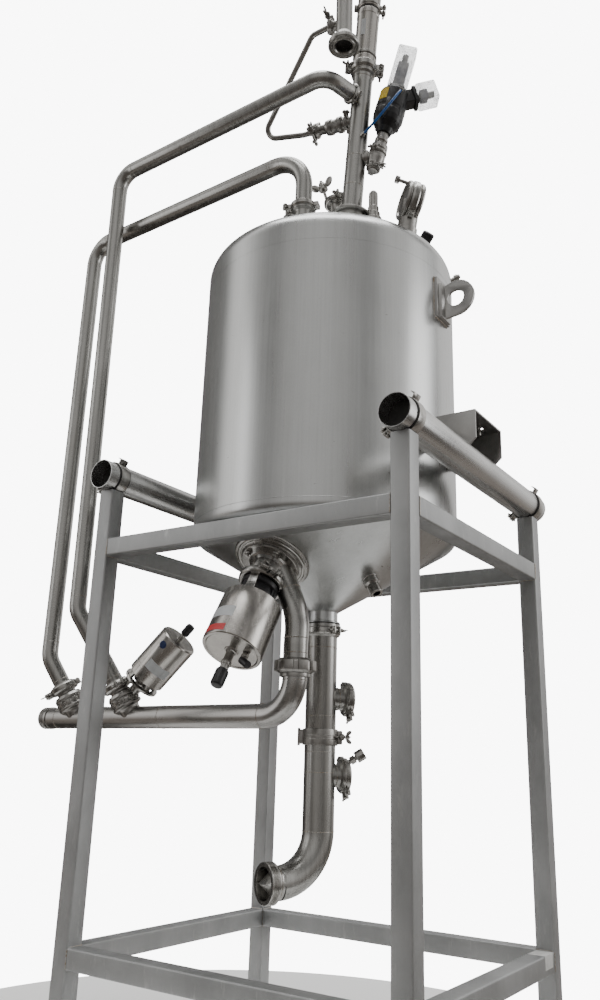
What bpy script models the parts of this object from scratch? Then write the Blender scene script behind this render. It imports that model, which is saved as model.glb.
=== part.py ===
"""Jacketed process tank in a box-section frame, with its valves and product pipework.

Metres, +Z up. The frame's plan centre is the modelling origin: X runs along the front rails, Y goes
from the front to the back, and Z starts at the floor. One empty carries every piece, and it is shifted
so that the model's origin is the bottom centre of the whole assembly.
"""
import math

import bmesh
import bpy
from mathutils import Matrix, Vector

# Clearance between pieces that touch
GAP = 0.0003

# Box-section frame
FRAME_WIDTH = 1.188
FRAME_DEPTH = 1.034
SECTION = 0.060
SECTION_CORNER = 0.004
LOWER_RAIL_TOP = 0.400
UPPER_RAIL_TOP = LOWER_RAIL_TOP + 1.243
LEG_TOP = LOWER_RAIL_TOP + 1.416
FOOT_WIDTH = 0.110
FOOT_THICKNESS = 0.010

# Support tubes that lie on the legs, and the tank brackets that rest on them
TUBE_RADIUS = 0.0508
TUBE_WALL = 0.0026
TUBE_LENGTH = 1.096
TUBE_OFFSET = (FRAME_WIDTH - SECTION) / 2
TUBE_HEIGHT = LEG_TOP + GAP + TUBE_RADIUS
BRACKET_ROOT = 0.350
BRACKET_REACH = 0.619
LEFT_BRACKET_SHIFT = 0.130
BRACKET_LENGTH = 0.220
BRACKET_TOP = LOWER_RAIL_TOP + 1.620
BRACKET_PLATE = 0.006
BRACKET_SIDE_DROP = 0.096
BRACKET_BOTTOM = TUBE_HEIGHT + 0.038
SLOT_WIDTH = 0.016
SLOT_LENGTH = 0.040

# Tank: jacket, dished roof and cone
TANK_RADIUS = 0.460
TANK_WALL = 0.003
TANK_STEPS = 48
SHELL_TOP = LOWER_RAIL_TOP + 2.267
SHELL_BOTTOM = LOWER_RAIL_TOP + 1.2992
ROOF_KNUCKLE = 0.080
ROOF_CROWN = 0.900
CONE_KNUCKLE = 0.0434
CONE_SLOPE = math.radians(30.46)

# Outlet line under the cone
OUTLET_RADIUS = 0.0508
OUTLET_FERRULE = 0.0595
SPOOL_BOTTOM = LOWER_RAIL_TOP + 0.996
OUTLET_BAND_TOP = LOWER_RAIL_TOP + 0.986
OUTLET_BAND_BOTTOM = LOWER_RAIL_TOP + 0.952
OUTLET_JOINT = LOWER_RAIL_TOP + 0.623
JOINT_BAND_HALF = 0.026
JOINT_BAND_RADIUS = 0.0580
UPPER_PORT_HEIGHT = LOWER_RAIL_TOP + 0.748
LOWER_PORT_HEIGHT = LOWER_RAIL_TOP + 0.504
PORT_RADIUS = 0.036
PORT_CLAMP_RADIUS = 0.056
UPPER_PORT_REACH = 0.106
LOWER_PORT_REACH = 0.097
PORT_CLAMP_DEPTH = 0.030
PORT_HEADING = Vector((math.cos(math.radians(50)), math.sin(math.radians(50)), 0.0))
OUTLET_BEND = 0.150
OUTLET_MOUTH_HEIGHT = LOWER_RAIL_TOP + 0.186
OUTLET_HEADING = math.radians(-115)
OUTLET_REACH = 0.192
MOUTH_RING_RADIUS = 0.062
MOUTH_RING_DEPTH = 0.030
MOUTH_BORE = 0.048
MOUTH_BORE_DEPTH = 0.045

# Drain valve on the cone
DRAIN_FOOT = Vector((-0.029, -0.269, LOWER_RAIL_TOP + 1.166))
DRAIN_AXIS = Vector((0.0, -math.sin(CONE_SLOPE), -math.cos(CONE_SLOPE)))
DRAIN_PAD_RADIUS = 0.124
DRAIN_FLANGE_RADIUS = 0.096
DRAIN_NECK_RADIUS = 0.058
DRAIN_COLLAR_RADIUS = 0.078
DRAIN_YOKE_RADIUS = 0.066
ACTUATOR_RADIUS = 0.094
ACTUATOR_START = 0.183
ACTUATOR_END = 0.367

# Drain pipe and manifold
MANIFOLD_RADIUS = 0.03805
MANIFOLD_HEIGHT = LOWER_RAIL_TOP + 0.6745
MANIFOLD_TURN = math.radians(4.24)
MANIFOLD_REACH = 1.214
MANIFOLD_CAP_RADIUS = 0.041
MANIFOLD_CAP_LENGTH = 0.040
DROP_X = 0.083
DROP_Y = -0.280
DRAIN_START = Vector((0.004, -0.263, LOWER_RAIL_TOP + 1.140))
DRAIN_CORNER = Vector((0.0805, -0.268, LOWER_RAIL_TOP + 0.970))
DRAIN_KNEE = 0.045
DRAIN_BENDS = [0.260, 0.095]
MANIFOLD_BEND = 0.114
UNION_TOP = LOWER_RAIL_TOP + 0.845
UNION_BOTTOM = LOWER_RAIL_TOP + 0.800
UNION_RADIUS = 0.064

# Product pipes between the manifold and the tank's top
PIPE_RADIUS = 0.03015
PIPE_BEND = 0.095
NOZZLE_BEND = 0.140
RETURN_FOOT_ALONG = 1.015
RETURN_DROP = Vector((-1.033, -0.286, 0.0))
RETURN_KNEE = LOWER_RAIL_TOP + 0.890
RETURN_RUN = LOWER_RAIL_TOP + 2.668
RETURN_NOZZLE = Vector((0.075, -0.308, 0.0))
RETURN_CLAMP = LOWER_RAIL_TOP + 2.452
SUPPLY_FOOT_ALONG = 0.713
SUPPLY_DROP = Vector((-0.810, -0.372, 0.0))
SUPPLY_LEAN = 0.014
SUPPLY_KNEE = LOWER_RAIL_TOP + 1.040
SUPPLY_RUN = LOWER_RAIL_TOP + 2.893
SUPPLY_TEE = LOWER_RAIL_TOP + 2.911
SUPPLY_BEND = 0.076
BRANCH_LENGTH = 0.142
BRANCH_BODY_RADIUS = 0.0520
BRANCH_RING_RADIUS = 0.0540
BRANCH_BODY_TOP = 0.086
BRANCH_BODY_LOW = 0.044

# Riser, check valve and swan neck
RISER_FOOT = Vector((0.2198, -0.2125, LOWER_RAIL_TOP + 2.458))
RISER_LEAN = Vector((0.0515, 0.0345, 1.0)).normalized()
RISER_RADIUS = 0.0365
RISER_FLANGE = -0.048
RISER_FLANGE_RADIUS = 0.072
RISER_TOP = 0.574
BRANCH_REACH = 0.050
BRANCH_HEADING = Vector((-math.cos(math.radians(75)), -math.sin(math.radians(75)), 0.0))
BYPASS_HEIGHT = LOWER_RAIL_TOP + 2.824
BYPASS_REACH = 0.188
BYPASS_HEADING = Vector((-0.985, -0.080, 0.095)).normalized()
BYPASS_TOP = LOWER_RAIL_TOP + 3.150
BYPASS_RADIUS = 0.008
CHECK_RADIUS = 0.044
CHECK_TOP = 1.020
FILL_PIPE = Vector((0.258, -0.350, 0.0))
SWAN_TOP = LOWER_RAIL_TOP + 3.700
FILL_MOUTH = LOWER_RAIL_TOP + 3.022
FILL_RING_RADIUS = 0.057
FILL_BORE = 0.029
FILL_BORE_DEPTH = 0.060

# Control valve beside the riser, and its air hose
HOSE_RADIUS = 0.0045
CONTROL_FOOT = Vector((0.290, -0.190, LOWER_RAIL_TOP + 2.583))
CONTROL_AXIS = Vector((0.215, 0.105, 0.970)).normalized()


def clear_scene():
    for old in list(bpy.data.objects):
        bpy.data.objects.remove(old, do_unlink=True)


def new_collection(name):
    group = bpy.data.collections.new(name)
    bpy.context.scene.collection.children.link(group)
    return group


def new_material(name, colour, roughness, metallic):
    material = bpy.data.materials.new(name)
    material.use_nodes = True
    shader = material.node_tree.nodes["Principled BSDF"]
    shader.inputs["Base Color"].default_value = (*colour, 1.0)
    shader.inputs["Roughness"].default_value = roughness
    shader.inputs["Metallic"].default_value = metallic
    return material


class Workshop:
    """Holds the collections, the carrying empty and the materials, and makes named pieces."""

    def __init__(self):
        self.parts = new_collection("jacketed_tank")
        self.cutters = new_collection("cutters")
        self.carrier = bpy.data.objects.new("tank_carrier", None)
        self.parts.objects.link(self.carrier)
        self.jacket = new_material("jacket_steel", (0.62, 0.62, 0.60), 0.30, 1.0)
        self.pipe = new_material("pipe_steel", (0.58, 0.58, 0.56), 0.34, 1.0)
        self.cast = new_material("fitting_steel", (0.60, 0.60, 0.58), 0.28, 1.0)
        self.paint = new_material("frame_paint", (0.42, 0.43, 0.42), 0.50, 0.3)
        self.black = new_material("black_housing", (0.02, 0.02, 0.02), 0.40, 0.0)
        self.clear = new_material("clear_cover", (0.80, 0.80, 0.80), 0.25, 0.0)
        self.blue = new_material("blue_hose", (0.02, 0.16, 0.45), 0.35, 0.0)

    def keep(self, piece, material):
        piece.parent = self.carrier
        piece.data.materials.append(material)
        return piece

    def cutter(self, piece):
        self.parts.objects.unlink(piece)
        self.cutters.objects.link(piece)
        piece.parent = self.carrier
        piece.hide_render = True
        piece.display_type = "WIRE"
        return piece

    def mesh_object(self, name, mesh):
        piece = bpy.data.objects.new(name, mesh)
        self.parts.objects.link(piece)
        return piece


def block(shop, name, low, high):
    """A box between two corners, with its own origin at its middle."""
    low = Vector(low)
    high = Vector(high)
    size = high - low
    shape = bmesh.new()
    bmesh.ops.create_cube(shape, size=1.0)
    bmesh.ops.scale(shape, vec=size, verts=shape.verts)
    mesh = bpy.data.meshes.new(name)
    shape.to_mesh(mesh)
    shape.free()
    piece = shop.mesh_object(name, mesh)
    piece.location = (low + high) / 2
    return piece


def turned(shop, name, outline, place, heading, steps=24, closed=False):
    """A turned piece: radius and height pairs that run down its outer side, turned about the heading."""
    points = [(radius, 0.0, height) for radius, height in outline]
    edges = [(i, i + 1) for i in range(len(points) - 1)]
    if closed:
        edges.append((len(points) - 1, 0))
    mesh = bpy.data.meshes.new(name)
    mesh.from_pydata(points, edges, [])
    piece = shop.mesh_object(name, mesh)
    piece.location = place
    piece.rotation_euler = Vector(heading).to_track_quat("Z", "Y").to_euler()
    screw = piece.modifiers.new("turn", "SCREW")
    screw.axis = "Z"
    screw.angle = math.tau
    screw.steps = steps
    screw.render_steps = steps
    screw.use_merge_vertices = True
    screw.merge_threshold = 0.00001
    screw.use_smooth_shade = True
    return piece


def bent_points(corners, bends, arc_steps=5):
    """The centre line through the corners, with an arc at each inner corner: one bend radius, or one each."""
    inner = len(corners) - 2
    if not isinstance(bends, list):
        bends = [bends] * inner
    points = [corners[0]]
    for before, corner, after, bend in zip(corners, corners[1:], corners[2:], bends):
        way_in = (corner - before).normalized()
        way_out = (after - corner).normalized()
        turn = way_in.angle(way_out)
        tangent = bend * math.tan(turn / 2)
        start = corner - way_in * tangent
        inward = (way_out - way_in * way_out.dot(way_in)).normalized()
        centre = start + inward * bend
        for step in range(arc_steps + 1):
            angle = turn * step / arc_steps
            points.append(centre - inward * bend * math.cos(angle) + way_in * bend * math.sin(angle))
    points.append(corners[-1])
    return points


def tube(shop, name, points, radius, sides_level=3):
    """A round tube or rod along the points."""
    curve = bpy.data.curves.new(name, "CURVE")
    curve.dimensions = "3D"
    curve.bevel_depth = radius
    curve.bevel_resolution = sides_level
    curve.use_fill_caps = True
    spline = curve.splines.new("POLY")
    spline.points.add(len(points) - 1)
    for spot, point in zip(spline.points, points):
        spot.co = (*point, 1.0)
    piece = bpy.data.objects.new(name, curve)
    shop.parts.objects.link(piece)
    return piece


def plate(shop, name, outline, thickness, middle):
    """A flat plate whose outline lies in the XZ plane, centred on its thickness at the middle's Y."""
    curve = bpy.data.curves.new(name, "CURVE")
    curve.dimensions = "2D"
    curve.fill_mode = "BOTH"
    curve.extrude = thickness / 2
    spline = curve.splines.new("POLY")
    spline.points.add(len(outline) - 1)
    for spot, (across, up) in zip(spline.points, outline):
        spot.co = (across, up, 0.0, 1.0)
    spline.use_cyclic_u = True
    piece = bpy.data.objects.new(name, curve)
    shop.parts.objects.link(piece)
    piece.location = middle
    piece.rotation_euler = (math.pi / 2, 0.0, 0.0)
    return as_mesh(shop, piece)


def as_mesh(shop, piece):
    """Turns a curve into a welded mesh that can be cut and joined."""
    bpy.context.view_layer.update()
    ready = piece.evaluated_get(bpy.context.evaluated_depsgraph_get())
    mesh = bpy.data.meshes.new_from_object(ready)
    shape = bmesh.new()
    shape.from_mesh(mesh)
    bmesh.ops.remove_doubles(shape, verts=shape.verts, dist=0.00001)
    bmesh.ops.recalc_face_normals(shape, faces=shape.faces)
    shape.to_mesh(mesh)
    shape.free()
    solid = bpy.data.objects.new(piece.name + "_solid", mesh)
    solid.matrix_world = piece.matrix_world.copy()
    name = piece.name
    shop.parts.objects.link(solid)
    bpy.data.objects.remove(piece, do_unlink=True)
    solid.name = name
    return solid


def boolean(shop, piece, tool, operation):
    """Cuts or joins the piece with the tool, which moves to the cutters unless it is there already."""
    if tool.name in shop.parts.objects:
        shop.cutter(tool)
    change = piece.modifiers.new(operation.lower(), "BOOLEAN")
    change.operation = operation
    change.object = tool
    change.solver = "EXACT"
    return piece


def arc(centre, radius, start, end, steps):
    """Points on a circle in the radius and height plane, angles from the outward direction."""
    points = []
    for step in range(steps + 1):
        angle = start + (end - start) * step / steps
        points.append((centre[0] + radius * math.cos(angle), centre[1] + radius * math.sin(angle)))
    return points


def roof_line(offset):
    """The dished roof from its apex to its seam, the given distance outside the steel's outer face."""
    knuckle_centre = (TANK_RADIUS - ROOF_KNUCKLE, SHELL_TOP)
    reach = ROOF_CROWN - ROOF_KNUCKLE
    rise = math.sqrt(reach ** 2 - knuckle_centre[0] ** 2)
    meeting = math.atan2(rise, knuckle_centre[0])
    crown = arc((0.0, SHELL_TOP - rise), ROOF_CROWN + offset, math.pi / 2, meeting, 4)
    knuckle = arc(knuckle_centre, ROOF_KNUCKLE + offset, meeting, 0.0, 4)
    crown[0] = (0.0, crown[0][1])
    return crown + knuckle[1:]


def cone_line(offset, spool_radius):
    """The cone from its seam with the jacket to the outlet spool, offset outwards from its outer face."""
    centre = (TANK_RADIUS - CONE_KNUCKLE, SHELL_BOTTOM)
    end = CONE_SLOPE - math.pi / 2
    knuckle = arc(centre, CONE_KNUCKLE + offset, 0.0, end, 4)
    radius, height = knuckle[-1]
    return knuckle + [(spool_radius, height - (radius - spool_radius) * math.tan(CONE_SLOPE))]


def make_envelope(shop):
    """A solid a little larger than the whole tank, which trims everything that is welded onto it."""
    outline = roof_line(GAP) + cone_line(GAP, OUTLET_RADIUS + GAP)
    outline += [(OUTLET_RADIUS + GAP, SPOOL_BOTTOM), (0.0, SPOOL_BOTTOM)]
    envelope = turned(shop, "tank_envelope", outline, (0, 0, 0), (0, 0, 1), TANK_STEPS)
    return shop.cutter(envelope)


def make_tank(shop):
    inner = TANK_RADIUS - TANK_WALL
    jacket = [(TANK_RADIUS, SHELL_TOP), (TANK_RADIUS, SHELL_BOTTOM), (inner, SHELL_BOTTOM), (inner, SHELL_TOP)]
    shell = turned(shop, "tank_shell", jacket, (0, 0, 0), (0, 0, 1), TANK_STEPS, closed=True)
    shop.keep(shell, shop.jacket)

    outside = roof_line(0.0)
    inside = roof_line(-TANK_WALL)
    outside[-1] = (outside[-1][0], SHELL_TOP + GAP)
    inside[-1] = (inside[-1][0], SHELL_TOP + GAP)
    roof = turned(shop, "tank_roof", outside + inside[::-1], (0, 0, 0), (0, 0, 1), TANK_STEPS)
    shop.keep(roof, shop.jacket)

    outside = cone_line(0.0, OUTLET_RADIUS)
    inside = cone_line(-TANK_WALL, OUTLET_RADIUS - TANK_WALL)
    outside[0] = (outside[0][0], SHELL_BOTTOM - GAP)
    inside[0] = (inside[0][0], SHELL_BOTTOM - GAP)
    flare = SPOOL_BOTTOM + 0.007
    spool = [(OUTLET_RADIUS, flare), (OUTLET_FERRULE, flare - 0.003), (OUTLET_FERRULE, SPOOL_BOTTOM)]
    spool.append((OUTLET_RADIUS - TANK_WALL, SPOOL_BOTTOM))
    outline = outside + spool + inside[::-1]
    cone = turned(shop, "tank_cone", outline, (0, 0, 0), (0, 0, 1), TANK_STEPS, closed=True)
    shop.keep(cone, shop.jacket)


def make_frame(shop):
    half_width = FRAME_WIDTH / 2
    half_depth = FRAME_DEPTH / 2
    overhang = (FOOT_WIDTH - SECTION) / 2
    sides = {"left": -1, "right": 1}
    ends = {"front": -1, "rear": 1}
    for end_name, end in ends.items():
        for side_name, side in sides.items():
            x = side * (half_width - SECTION / 2)
            y = end * (half_depth - SECTION / 2)
            half = SECTION / 2
            leg = block(shop, f"leg_{end_name}_{side_name}",
                        (x - half, y - half, FOOT_THICKNESS / 2), (x + half, y + half, LEG_TOP))
            ease_corners(leg)
            reach = half + overhang
            foot = block(shop, f"foot_{end_name}_{side_name}",
                         (x - reach, y - reach, 0.0), (x + reach, y + reach, FOOT_THICKNESS))
            boolean(shop, leg, foot, "UNION")
            shop.keep(leg, shop.paint)
    for level, top in (("lower", LOWER_RAIL_TOP), ("upper", UPPER_RAIL_TOP)):
        for end_name, end in ends.items():
            near = end * half_depth
            far = end * (half_depth - SECTION)
            reach = half_width - SECTION - GAP
            rail = block(shop, f"{level}_rail_{end_name}",
                         (-reach, min(near, far), top - SECTION), (reach, max(near, far), top))
            ease_corners(rail)
            shop.keep(rail, shop.paint)
        for side_name, side in sides.items():
            near = side * half_width
            far = side * (half_width - SECTION)
            reach = half_depth - SECTION - GAP
            rail = block(shop, f"{level}_rail_{side_name}",
                         (min(near, far), -reach, top - SECTION), (max(near, far), reach, top))
            ease_corners(rail)
            shop.keep(rail, shop.paint)


def ease_corners(piece):
    """Rounds a box section's long edges by chamfering them lightly."""
    bevel = piece.modifiers.new("corners", "BEVEL")
    bevel.width = SECTION_CORNER
    bevel.segments = 1


def make_supports(shop, envelope):
    half = TUBE_LENGTH / 2
    bore = TUBE_RADIUS - TUBE_WALL
    outline = [(TUBE_RADIUS, half), (TUBE_RADIUS, -half), (bore, -half), (bore, half)]
    for side_name, side in (("left", -1), ("right", 1)):
        place = (side * TUBE_OFFSET, 0.0, TUBE_HEIGHT)
        support = turned(shop, f"support_tube_{side_name}", outline, place, (0, 1, 0), 32, closed=True)
        shop.keep(support, shop.pipe)
        make_bracket(shop, envelope, side_name, side)


def make_bracket(shop, envelope, side_name, side):
    """An inverted-U plate bracket: its two gussets sit astride the support tube."""
    shift = LEFT_BRACKET_SHIFT if side < 0 else 0.0
    side_foot = BRACKET_TOP - BRACKET_SIDE_DROP
    saddle = TUBE_RADIUS + GAP
    lift = BRACKET_BOTTOM - TUBE_HEIGHT
    start = math.asin(lift / saddle)
    seat = arc((TUBE_OFFSET, TUBE_HEIGHT), saddle, start, math.pi - start, 8)
    outline = [(BRACKET_ROOT, BRACKET_TOP), (BRACKET_ROOT, BRACKET_BOTTOM)] + seat[::-1]
    outline += [(BRACKET_REACH, side_foot), (BRACKET_REACH, BRACKET_TOP)]
    outline = [(side * across, up) for across, up in outline]
    bracket = plate(shop, f"bracket_{side_name}", outline, BRACKET_LENGTH, (0, shift, 0))
    inner = BRACKET_LENGTH / 2 - BRACKET_PLATE
    hollow_ends = sorted((side * (BRACKET_ROOT - 0.010), side * (BRACKET_REACH + 0.010)))
    hollow = block(shop, f"bracket_hollow_{side_name}",
                   (hollow_ends[0], shift - inner, BRACKET_BOTTOM - 0.010),
                   (hollow_ends[1], shift + inner, BRACKET_TOP - BRACKET_PLATE))
    boolean(shop, bracket, hollow, "DIFFERENCE")
    slot_x = side * (TUBE_OFFSET + 0.008)
    slot_y = shift + 0.044
    slot = block(shop, f"bracket_slot_{side_name}",
                 (slot_x - SLOT_WIDTH / 2, slot_y - SLOT_LENGTH / 2, BRACKET_TOP - 0.020),
                 (slot_x + SLOT_WIDTH / 2, slot_y + SLOT_LENGTH / 2, BRACKET_TOP + 0.020))
    boolean(shop, bracket, slot, "DIFFERENCE")
    boolean(shop, bracket, envelope, "DIFFERENCE")
    shop.keep(bracket, shop.cast)


def make_lugs(shop, envelope):
    """Two lifting lugs on the jacket above the brackets: pad, backing plate and eye plate in one."""
    low = LOWER_RAIL_TOP + 2.020
    high = LOWER_RAIL_TOP + 2.172
    pad_face = TANK_RADIUS + 0.010
    backing_face = pad_face + 0.010
    eye_centre = 0.518
    eye_height = LOWER_RAIL_TOP + 2.0965
    eye_radius = 0.0675
    hole_radius = 0.0305
    eye_half = 0.006
    for side_name, side in (("left", -1), ("right", 1)):
        pad = block(shop, f"lifting_lug_{side_name}",
                    sorted_corner(side * (TANK_RADIUS - 0.015), side * pad_face, -0.050, 0.050, low, high)[0],
                    sorted_corner(side * (TANK_RADIUS - 0.015), side * pad_face, -0.050, 0.050, low, high)[1])
        corners = sorted_corner(side * (pad_face - 0.002), side * backing_face, -0.036, 0.036, low, high - 0.022)
        backing = block(shop, f"lug_backing_{side_name}", corners[0], corners[1])
        eye = arc((eye_centre, eye_height), eye_radius, -math.pi / 2, math.pi / 2, 12)
        eye += [(backing_face - 0.002, eye_height + eye_radius - 0.012), (backing_face - 0.002, low + 0.006)]
        eye = [(side * across, up) for across, up in eye]
        eye_plate = plate(shop, f"lug_eye_{side_name}", eye, eye_half * 2, (0, 0, 0))
        hole = turned(shop, f"lug_hole_{side_name}",
                      [(0.0, 0.05), (hole_radius, 0.05), (hole_radius, -0.05), (0.0, -0.05)],
                      (side * eye_centre, 0.0, eye_height), (0, 1, 0), 20)
        boolean(shop, pad, backing, "UNION")
        boolean(shop, pad, eye_plate, "UNION")
        boolean(shop, pad, hole, "DIFFERENCE")
        boolean(shop, pad, envelope, "DIFFERENCE")
        shop.keep(pad, shop.cast)


def sorted_corner(x_one, x_two, y_low, y_high, z_low, z_high):
    """The low and high corners of a box whose two X faces may come in either order."""
    low = (min(x_one, x_two), y_low, z_low)
    high = (max(x_one, x_two), y_high, z_high)
    return low, high


def side_port(shop, name, height, reach):
    """A clamped and capped port on the back of the outlet line."""
    ring_start = reach - PORT_CLAMP_DEPTH
    outline = [(0.0, reach + 0.004), (PORT_CLAMP_RADIUS - 0.012, reach + 0.004),
               (PORT_CLAMP_RADIUS, reach - 0.006), (PORT_CLAMP_RADIUS, ring_start + 0.006),
               (PORT_CLAMP_RADIUS - 0.010, ring_start), (PORT_RADIUS, ring_start), (PORT_RADIUS, 0.0), (0.0, 0.0)]
    return turned(shop, name, outline, (0.0, 0.0, height), PORT_HEADING, 24)


def make_outlet(shop):
    top = SPOOL_BOTTOM - GAP
    low = OUTLET_JOINT + 0.001
    band_radius = OUTLET_FERRULE + 0.0020
    outline = [(0.0, top), (OUTLET_FERRULE, top), (OUTLET_FERRULE, OUTLET_BAND_TOP),
               (band_radius, OUTLET_BAND_TOP - 0.002), (band_radius, OUTLET_BAND_BOTTOM + 0.002),
               (OUTLET_RADIUS, OUTLET_BAND_BOTTOM - 0.003), (OUTLET_RADIUS, low), (0.0, low)]
    pipe = turned(shop, "outlet_pipe_upper", outline, (0, 0, 0), (0, 0, 1), 32)
    boolean(shop, pipe, side_port(shop, "upper_port", UPPER_PORT_HEIGHT, UPPER_PORT_REACH), "UNION")
    shop.keep(pipe, shop.pipe)

    outer = JOINT_BAND_RADIUS
    inner = OUTLET_RADIUS + GAP
    high = OUTLET_JOINT + JOINT_BAND_HALF
    low = OUTLET_JOINT - JOINT_BAND_HALF
    ring = [(outer, high), (outer, low), (inner, low), (inner, high)]
    clamp = turned(shop, "outlet_clamp", ring, (0, 0, 0), (0, 0, 1), 32, closed=True)
    shop.keep(clamp, shop.cast)

    heading = Vector((math.cos(OUTLET_HEADING), math.sin(OUTLET_HEADING), 0.0))
    corner = Vector((0.0, 0.0, OUTLET_MOUTH_HEIGHT))
    mouth = corner + heading * OUTLET_REACH
    start = Vector((0.0, 0.0, OUTLET_JOINT - 0.001))
    route = bent_points([start, corner, mouth - heading * 0.002], OUTLET_BEND, 7)
    elbow = as_mesh(shop, tube(shop, "outlet_pipe_lower", route, OUTLET_RADIUS, 5))
    ring = [(0.0, 0.0), (MOUTH_RING_RADIUS, 0.0), (MOUTH_RING_RADIUS, -MOUTH_RING_DEPTH),
            (OUTLET_RADIUS - 0.004, -MOUTH_RING_DEPTH - 0.006), (0.0, -MOUTH_RING_DEPTH - 0.006)]
    boolean(shop, elbow, turned(shop, "mouth_ring", ring, mouth, heading, 32), "UNION")
    boolean(shop, elbow, side_port(shop, "lower_port", LOWER_PORT_HEIGHT, LOWER_PORT_REACH), "UNION")
    bore = [(0.0, 0.010), (MOUTH_BORE, 0.010), (MOUTH_BORE, -MOUTH_BORE_DEPTH), (0.0, -MOUTH_BORE_DEPTH)]
    boolean(shop, elbow, turned(shop, "mouth_bore", bore, mouth, heading, 32), "DIFFERENCE")
    shop.keep(elbow, shop.pipe)


def make_drain_valve(shop, envelope):
    pad = 0.010
    flange = 0.026
    neck_end = 0.072
    collar_end = 0.112
    seat = ACTUATOR_START - GAP
    yoke = DRAIN_YOKE_RADIUS
    outline = [(0.0, seat), (yoke, seat), (yoke, collar_end), (DRAIN_COLLAR_RADIUS, collar_end - 0.004),
               (DRAIN_COLLAR_RADIUS, collar_end - 0.016), (DRAIN_NECK_RADIUS, neck_end),
               (DRAIN_NECK_RADIUS, flange + 0.010), (DRAIN_NECK_RADIUS + 0.008, flange),
               (DRAIN_FLANGE_RADIUS, flange), (DRAIN_FLANGE_RADIUS, pad),
               (DRAIN_PAD_RADIUS, pad), (DRAIN_PAD_RADIUS, -0.030), (0.0, -0.030)]
    body = turned(shop, "drain_valve_body", outline, DRAIN_FOOT, DRAIN_AXIS, 32)
    boolean(shop, body, envelope, "DIFFERENCE")
    shop.keep(body, shop.cast)

    stem = 0.014
    knob = 0.020
    stem_end = ACTUATOR_END + 0.066
    knob_end = stem_end + 0.056
    outline = [(0.0, knob_end), (knob - 0.003, knob_end), (knob, knob_end - 0.004), (knob, stem_end),
               (stem, stem_end - 0.001), (stem, ACTUATOR_END),
               (ACTUATOR_RADIUS - 0.003, ACTUATOR_END), (ACTUATOR_RADIUS, ACTUATOR_END - 0.003),
               (ACTUATOR_RADIUS, ACTUATOR_START), (0.0, ACTUATOR_START)]
    actuator = turned(shop, "drain_valve_actuator", outline, DRAIN_FOOT, DRAIN_AXIS, 32)
    shop.keep(actuator, shop.jacket)


def manifold_point(along):
    """A point on the manifold's centre line, measured from below the drain pipe towards the left."""
    return Vector((DROP_X - along * math.cos(MANIFOLD_TURN), DROP_Y + along * math.sin(MANIFOLD_TURN),
                   MANIFOLD_HEIGHT))


def make_manifold(shop):
    drop_end = Vector((DROP_X, DROP_Y, UNION_TOP - GAP))
    knee = drop_end + Vector((0.0, 0.0, DRAIN_KNEE))
    route = bent_points([DRAIN_START, DRAIN_CORNER, knee, drop_end], DRAIN_BENDS, 6)
    upper = as_mesh(shop, tube(shop, "drain_pipe", route, MANIFOLD_RADIUS, 4))
    boolean(shop, upper, drain_body_cutter(shop), "DIFFERENCE")
    shop.keep(upper, shop.pipe)

    height = UNION_TOP - UNION_BOTTOM
    outline = [(0.0, height - 2 * GAP), (UNION_RADIUS - 0.016, height - 2 * GAP), (UNION_RADIUS, height - 0.012),
               (UNION_RADIUS, 0.007), (UNION_RADIUS - 0.014, 0.0), (0.0, 0.0)]
    nut = turned(shop, "union_nut", outline, (DROP_X, DROP_Y, UNION_BOTTOM), (0, 0, 1), 24)
    shop.keep(nut, shop.cast)

    corner = manifold_point(0.0)
    top = Vector((DROP_X, DROP_Y, UNION_BOTTOM - GAP))
    cap_start = manifold_point(MANIFOLD_REACH - MANIFOLD_CAP_LENGTH)
    route = bent_points([top, corner, cap_start], MANIFOLD_BEND, 6)
    run = as_mesh(shop, tube(shop, "manifold_pipe", route, MANIFOLD_RADIUS, 4))
    heading = (manifold_point(1.0) - manifold_point(0.0)).normalized()
    outline = [(0.0, MANIFOLD_CAP_LENGTH), (MANIFOLD_CAP_RADIUS - 0.006, MANIFOLD_CAP_LENGTH),
               (MANIFOLD_CAP_RADIUS, MANIFOLD_CAP_LENGTH - 0.006), (MANIFOLD_CAP_RADIUS, -0.004), (0.0, -0.004)]
    cap = turned(shop, "manifold_cap", outline, cap_start, heading, 24)
    boolean(shop, run, cap, "UNION")
    shop.keep(run, shop.pipe)


def drain_body_cutter(shop):
    """The drain valve's neck, a clearance larger, which shapes the end of the drain pipe."""
    radius = DRAIN_NECK_RADIUS + GAP
    collar = DRAIN_COLLAR_RADIUS + GAP
    outline = [(0.0, 0.200), (collar, 0.200), (collar, 0.096 - GAP), (radius, 0.072), (radius, 0.037 + GAP),
               (radius + 0.008, 0.026 + GAP), (DRAIN_FLANGE_RADIUS + 0.02, 0.026 + GAP),
               (DRAIN_FLANGE_RADIUS + 0.02, -0.01), (0.0, -0.01)]
    return turned(shop, "drain_neck_cutter", outline, DRAIN_FOOT, DRAIN_AXIS, 32)


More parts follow.
